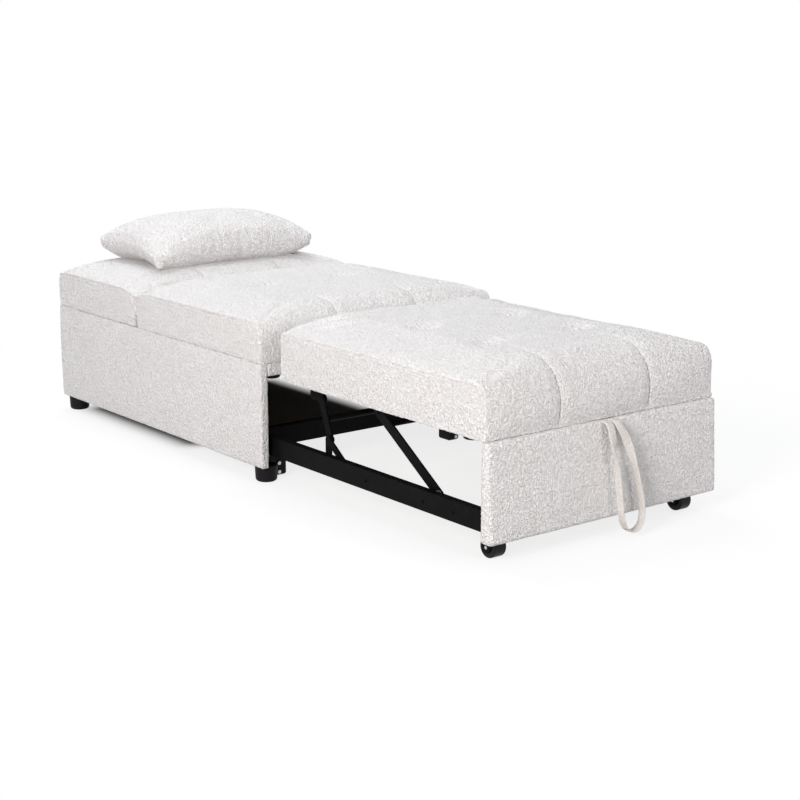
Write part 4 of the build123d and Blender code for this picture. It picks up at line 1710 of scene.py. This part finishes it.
@dataclass(frozen=True)
class CreaseCloth:
    """The strip of cover that joins the seat's and the head section's pads over the crease.

    The top is the height of the pads' tops beside the crease, and edge_top that of their side seams.
    """

    top: float = 0.3935
    edge_top: float = 0.380
    lap: float = 0.010
    valley: float = 0.006
    side_inset: float = 0.0022
    side_drop: float = 0.054
    crown_reach: float = 0.11
    thickness: float = 0.0016
    across: int = 8
    step: float = 0.006

    def profile(self, half: float) -> list[tuple[float, float]]:
        """Draw the strip's middle line, up one side, over the top and down the other side.

        Args:
            half: half of the distance between the two sides.

        Returns:
            The line's points, as x and z.
        """
        count = int(self.side_drop / self.step)
        rows = [(-half, self.edge_top - self.side_drop + self.step * i) for i in range(count)]
        steps = int(2 * half / self.step)
        for i in range(steps + 1):
            x = -half + 2 * half * i / steps
            lift = (self.top - self.edge_top) * float(dome(np.array([half - abs(x)]), self.crown_reach)[0])
            rows.append((x, self.edge_top + lift))
        rows += [(half, self.edge_top - self.step * (i + 1)) for i in range(count)]
        return rows

    def vertices(
        self, rows: list[tuple[float, float]], half: float, middle: float, half_gap: float
    ) -> list[Place]:
        """Lay the strip's width across its middle line, sunk a little in the crease.

        Args:
            rows: the middle line.
            half: half of the distance between the two sides.
            middle: the place of the crease along y.
            half_gap: half of the strip's width.

        Returns:
            The strip's vertices, row by row.
        """
        vertices = []
        for x, z in rows:
            on_side = abs(x) > half - TINY and z < self.edge_top - TINY
            for j in range(self.across + 1):
                share = 2 * j / self.across - 1
                dip = self.valley * (1 - share * share)
                y = middle + share * half_gap
                vertices.append((x - math.copysign(dip, x), y, z) if on_side else (x, y, z - dip))
        return vertices

    def build(self, finish: bpy.types.Material) -> None:
        """Make the strip and blend it between the base and the head section.

        Args:
            finish: the material.
        """
        seat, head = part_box("seat_cushion"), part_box("head_cushion")
        middle = (seat[1].y + head[0].y) / 2
        half_gap = (head[0].y - seat[1].y) / 2 + self.lap
        half = seat[1].x - self.side_inset
        rows = self.profile(half)
        wide = self.across + 1
        faces = [
            (r * wide + j, r * wide + j + 1, (r + 1) * wide + j + 1, (r + 1) * wide + j)
            for r in range(len(rows) - 1)
            for j in range(self.across)
        ]
        mesh = bpy.data.meshes.new("crease_cloth")
        mesh.from_pydata(self.vertices(rows, half, middle, half_gap), [], faces)
        cloth = link_to_scene("crease_cloth", mesh)
        subdivide(cloth)
        apply_modifier(cloth, "SOLIDIFY", thickness=self.thickness, offset=0.0)
        CREASE_CURLS.press(cloth)
        activate(cloth)
        bpy.ops.object.shade_smooth()
        cloth.data.materials.append(finish)
        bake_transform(cloth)
        log.info("%s: %d vertices over the crease", cloth.name, len(cloth.data.vertices))


@dataclass(frozen=True)
class Cushions:
    """The three pads and the pillow, with the places of their tufts and darts."""

    base_seam: float = 0.391
    pull_seam: float = 0.3773
    pull_spread: float = 0.132
    lap_under: float = 0.0008
    pull_rows: tuple[float, float] = (0.225, 0.445)
    seat_spread: float = 0.122
    seat_row: float = 0.330

    def seat(self, finish: bpy.types.Material) -> None:
        """Build the seat's pad."""
        low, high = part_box("seat_cushion")
        Pad(
            name="seat_pad",
            body=Body.BASE,
            nodes=("seat_cushion",),
            low=low,
            high=high,
            seam=self.base_seam,
            reach=0.12,
            front_round=0.034,
            rear_round=0.014,
            front_hold=0.45,
            rear_hold=0.42,
            front_fall=0.12,
            rear_fall=0.16,
            rear_dip=0.010,
            front_bulge=0.45,
            tufts=tuple((side * self.seat_spread, low.y + self.seat_row) for side in (-1, 1)),
            darts=tuple(Dart(side * self.seat_spread, 0.114) for side in (-1, 1)),
        ).build(finish)

    def head(self, finish: bpy.types.Material) -> None:
        """Build the head section's pad."""
        low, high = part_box("head_cushion")
        Pad(
            name="head_pad",
            body=Body.BACKREST,
            nodes=("head_cushion",),
            low=low,
            high=high,
            seam=self.base_seam,
            reach=0.12,
            front_round=0.016,
            rear_round=0.022,
            front_hold=0.42,
            rear_hold=0.62,
            front_fall=0.13,
            rear_fall=0.10,
            front_dip=0.010,
            rear_dip=0.005,
            darts=tuple(Dart(side * self.seat_spread, 0.075) for side in (-1, 1)),
        ).build(finish)

    def pull_out(self, finish: bpy.types.Material) -> None:
        """Build the one cover over the platform's box and its foam.

        Args:
            finish: the material.
        """
        skirt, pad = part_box("front_skirt"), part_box("pull_out_cushion")
        low = Vector((pad[0].x, pad[0].y, skirt[0].z - self.lap_under))
        OpenPad(
            name="pull_out_pad",
            body=Body.PLATFORM,
            nodes=("pull_out_cushion", "side_skirts", "rear_skirt", "front_skirt"),
            low=low,
            high=pad[1],
            seam=self.pull_seam,
            reach=0.15,
            front_round=0.036,
            rear_round=0.020,
            front_hold=0.35,
            rear_hold=0.55,
            front_fall=0.16,
            rear_fall=0.08,
            rear_bulge=0.1,
            tufts=tuple((side * self.pull_spread, low.y + row) for side in (-1, 1) for row in self.pull_rows),
            darts=tuple(Dart(side * self.pull_spread, 0.128) for side in (-1, 1)),
        ).build(finish)

    def build(self, finish: bpy.types.Material) -> None:
        """Build every soft piece that is sat or lain on.

        Args:
            finish: the material.
        """
        self.seat(finish)
        self.head(finish)
        self.pull_out(finish)
        Pillow().build(finish)
        CreaseCloth().build(finish)


def main() -> None:
    """Build the set, then each sub-assembly in order, and note the sizes."""
    logging.basicConfig(level=logging.INFO, format="%(message)s")
    Studio().build()
    finishes = Finishes()
    PullStrap().build(finishes.by_slot[Slot.STRAP])
    finishes.dress_solids()
    Panels().build(finishes.by_slot[Slot.BOUCLE])
    Cushions().build(finishes.by_slot[Slot.BOUCLE])


if __name__ == "__main__":
    main()
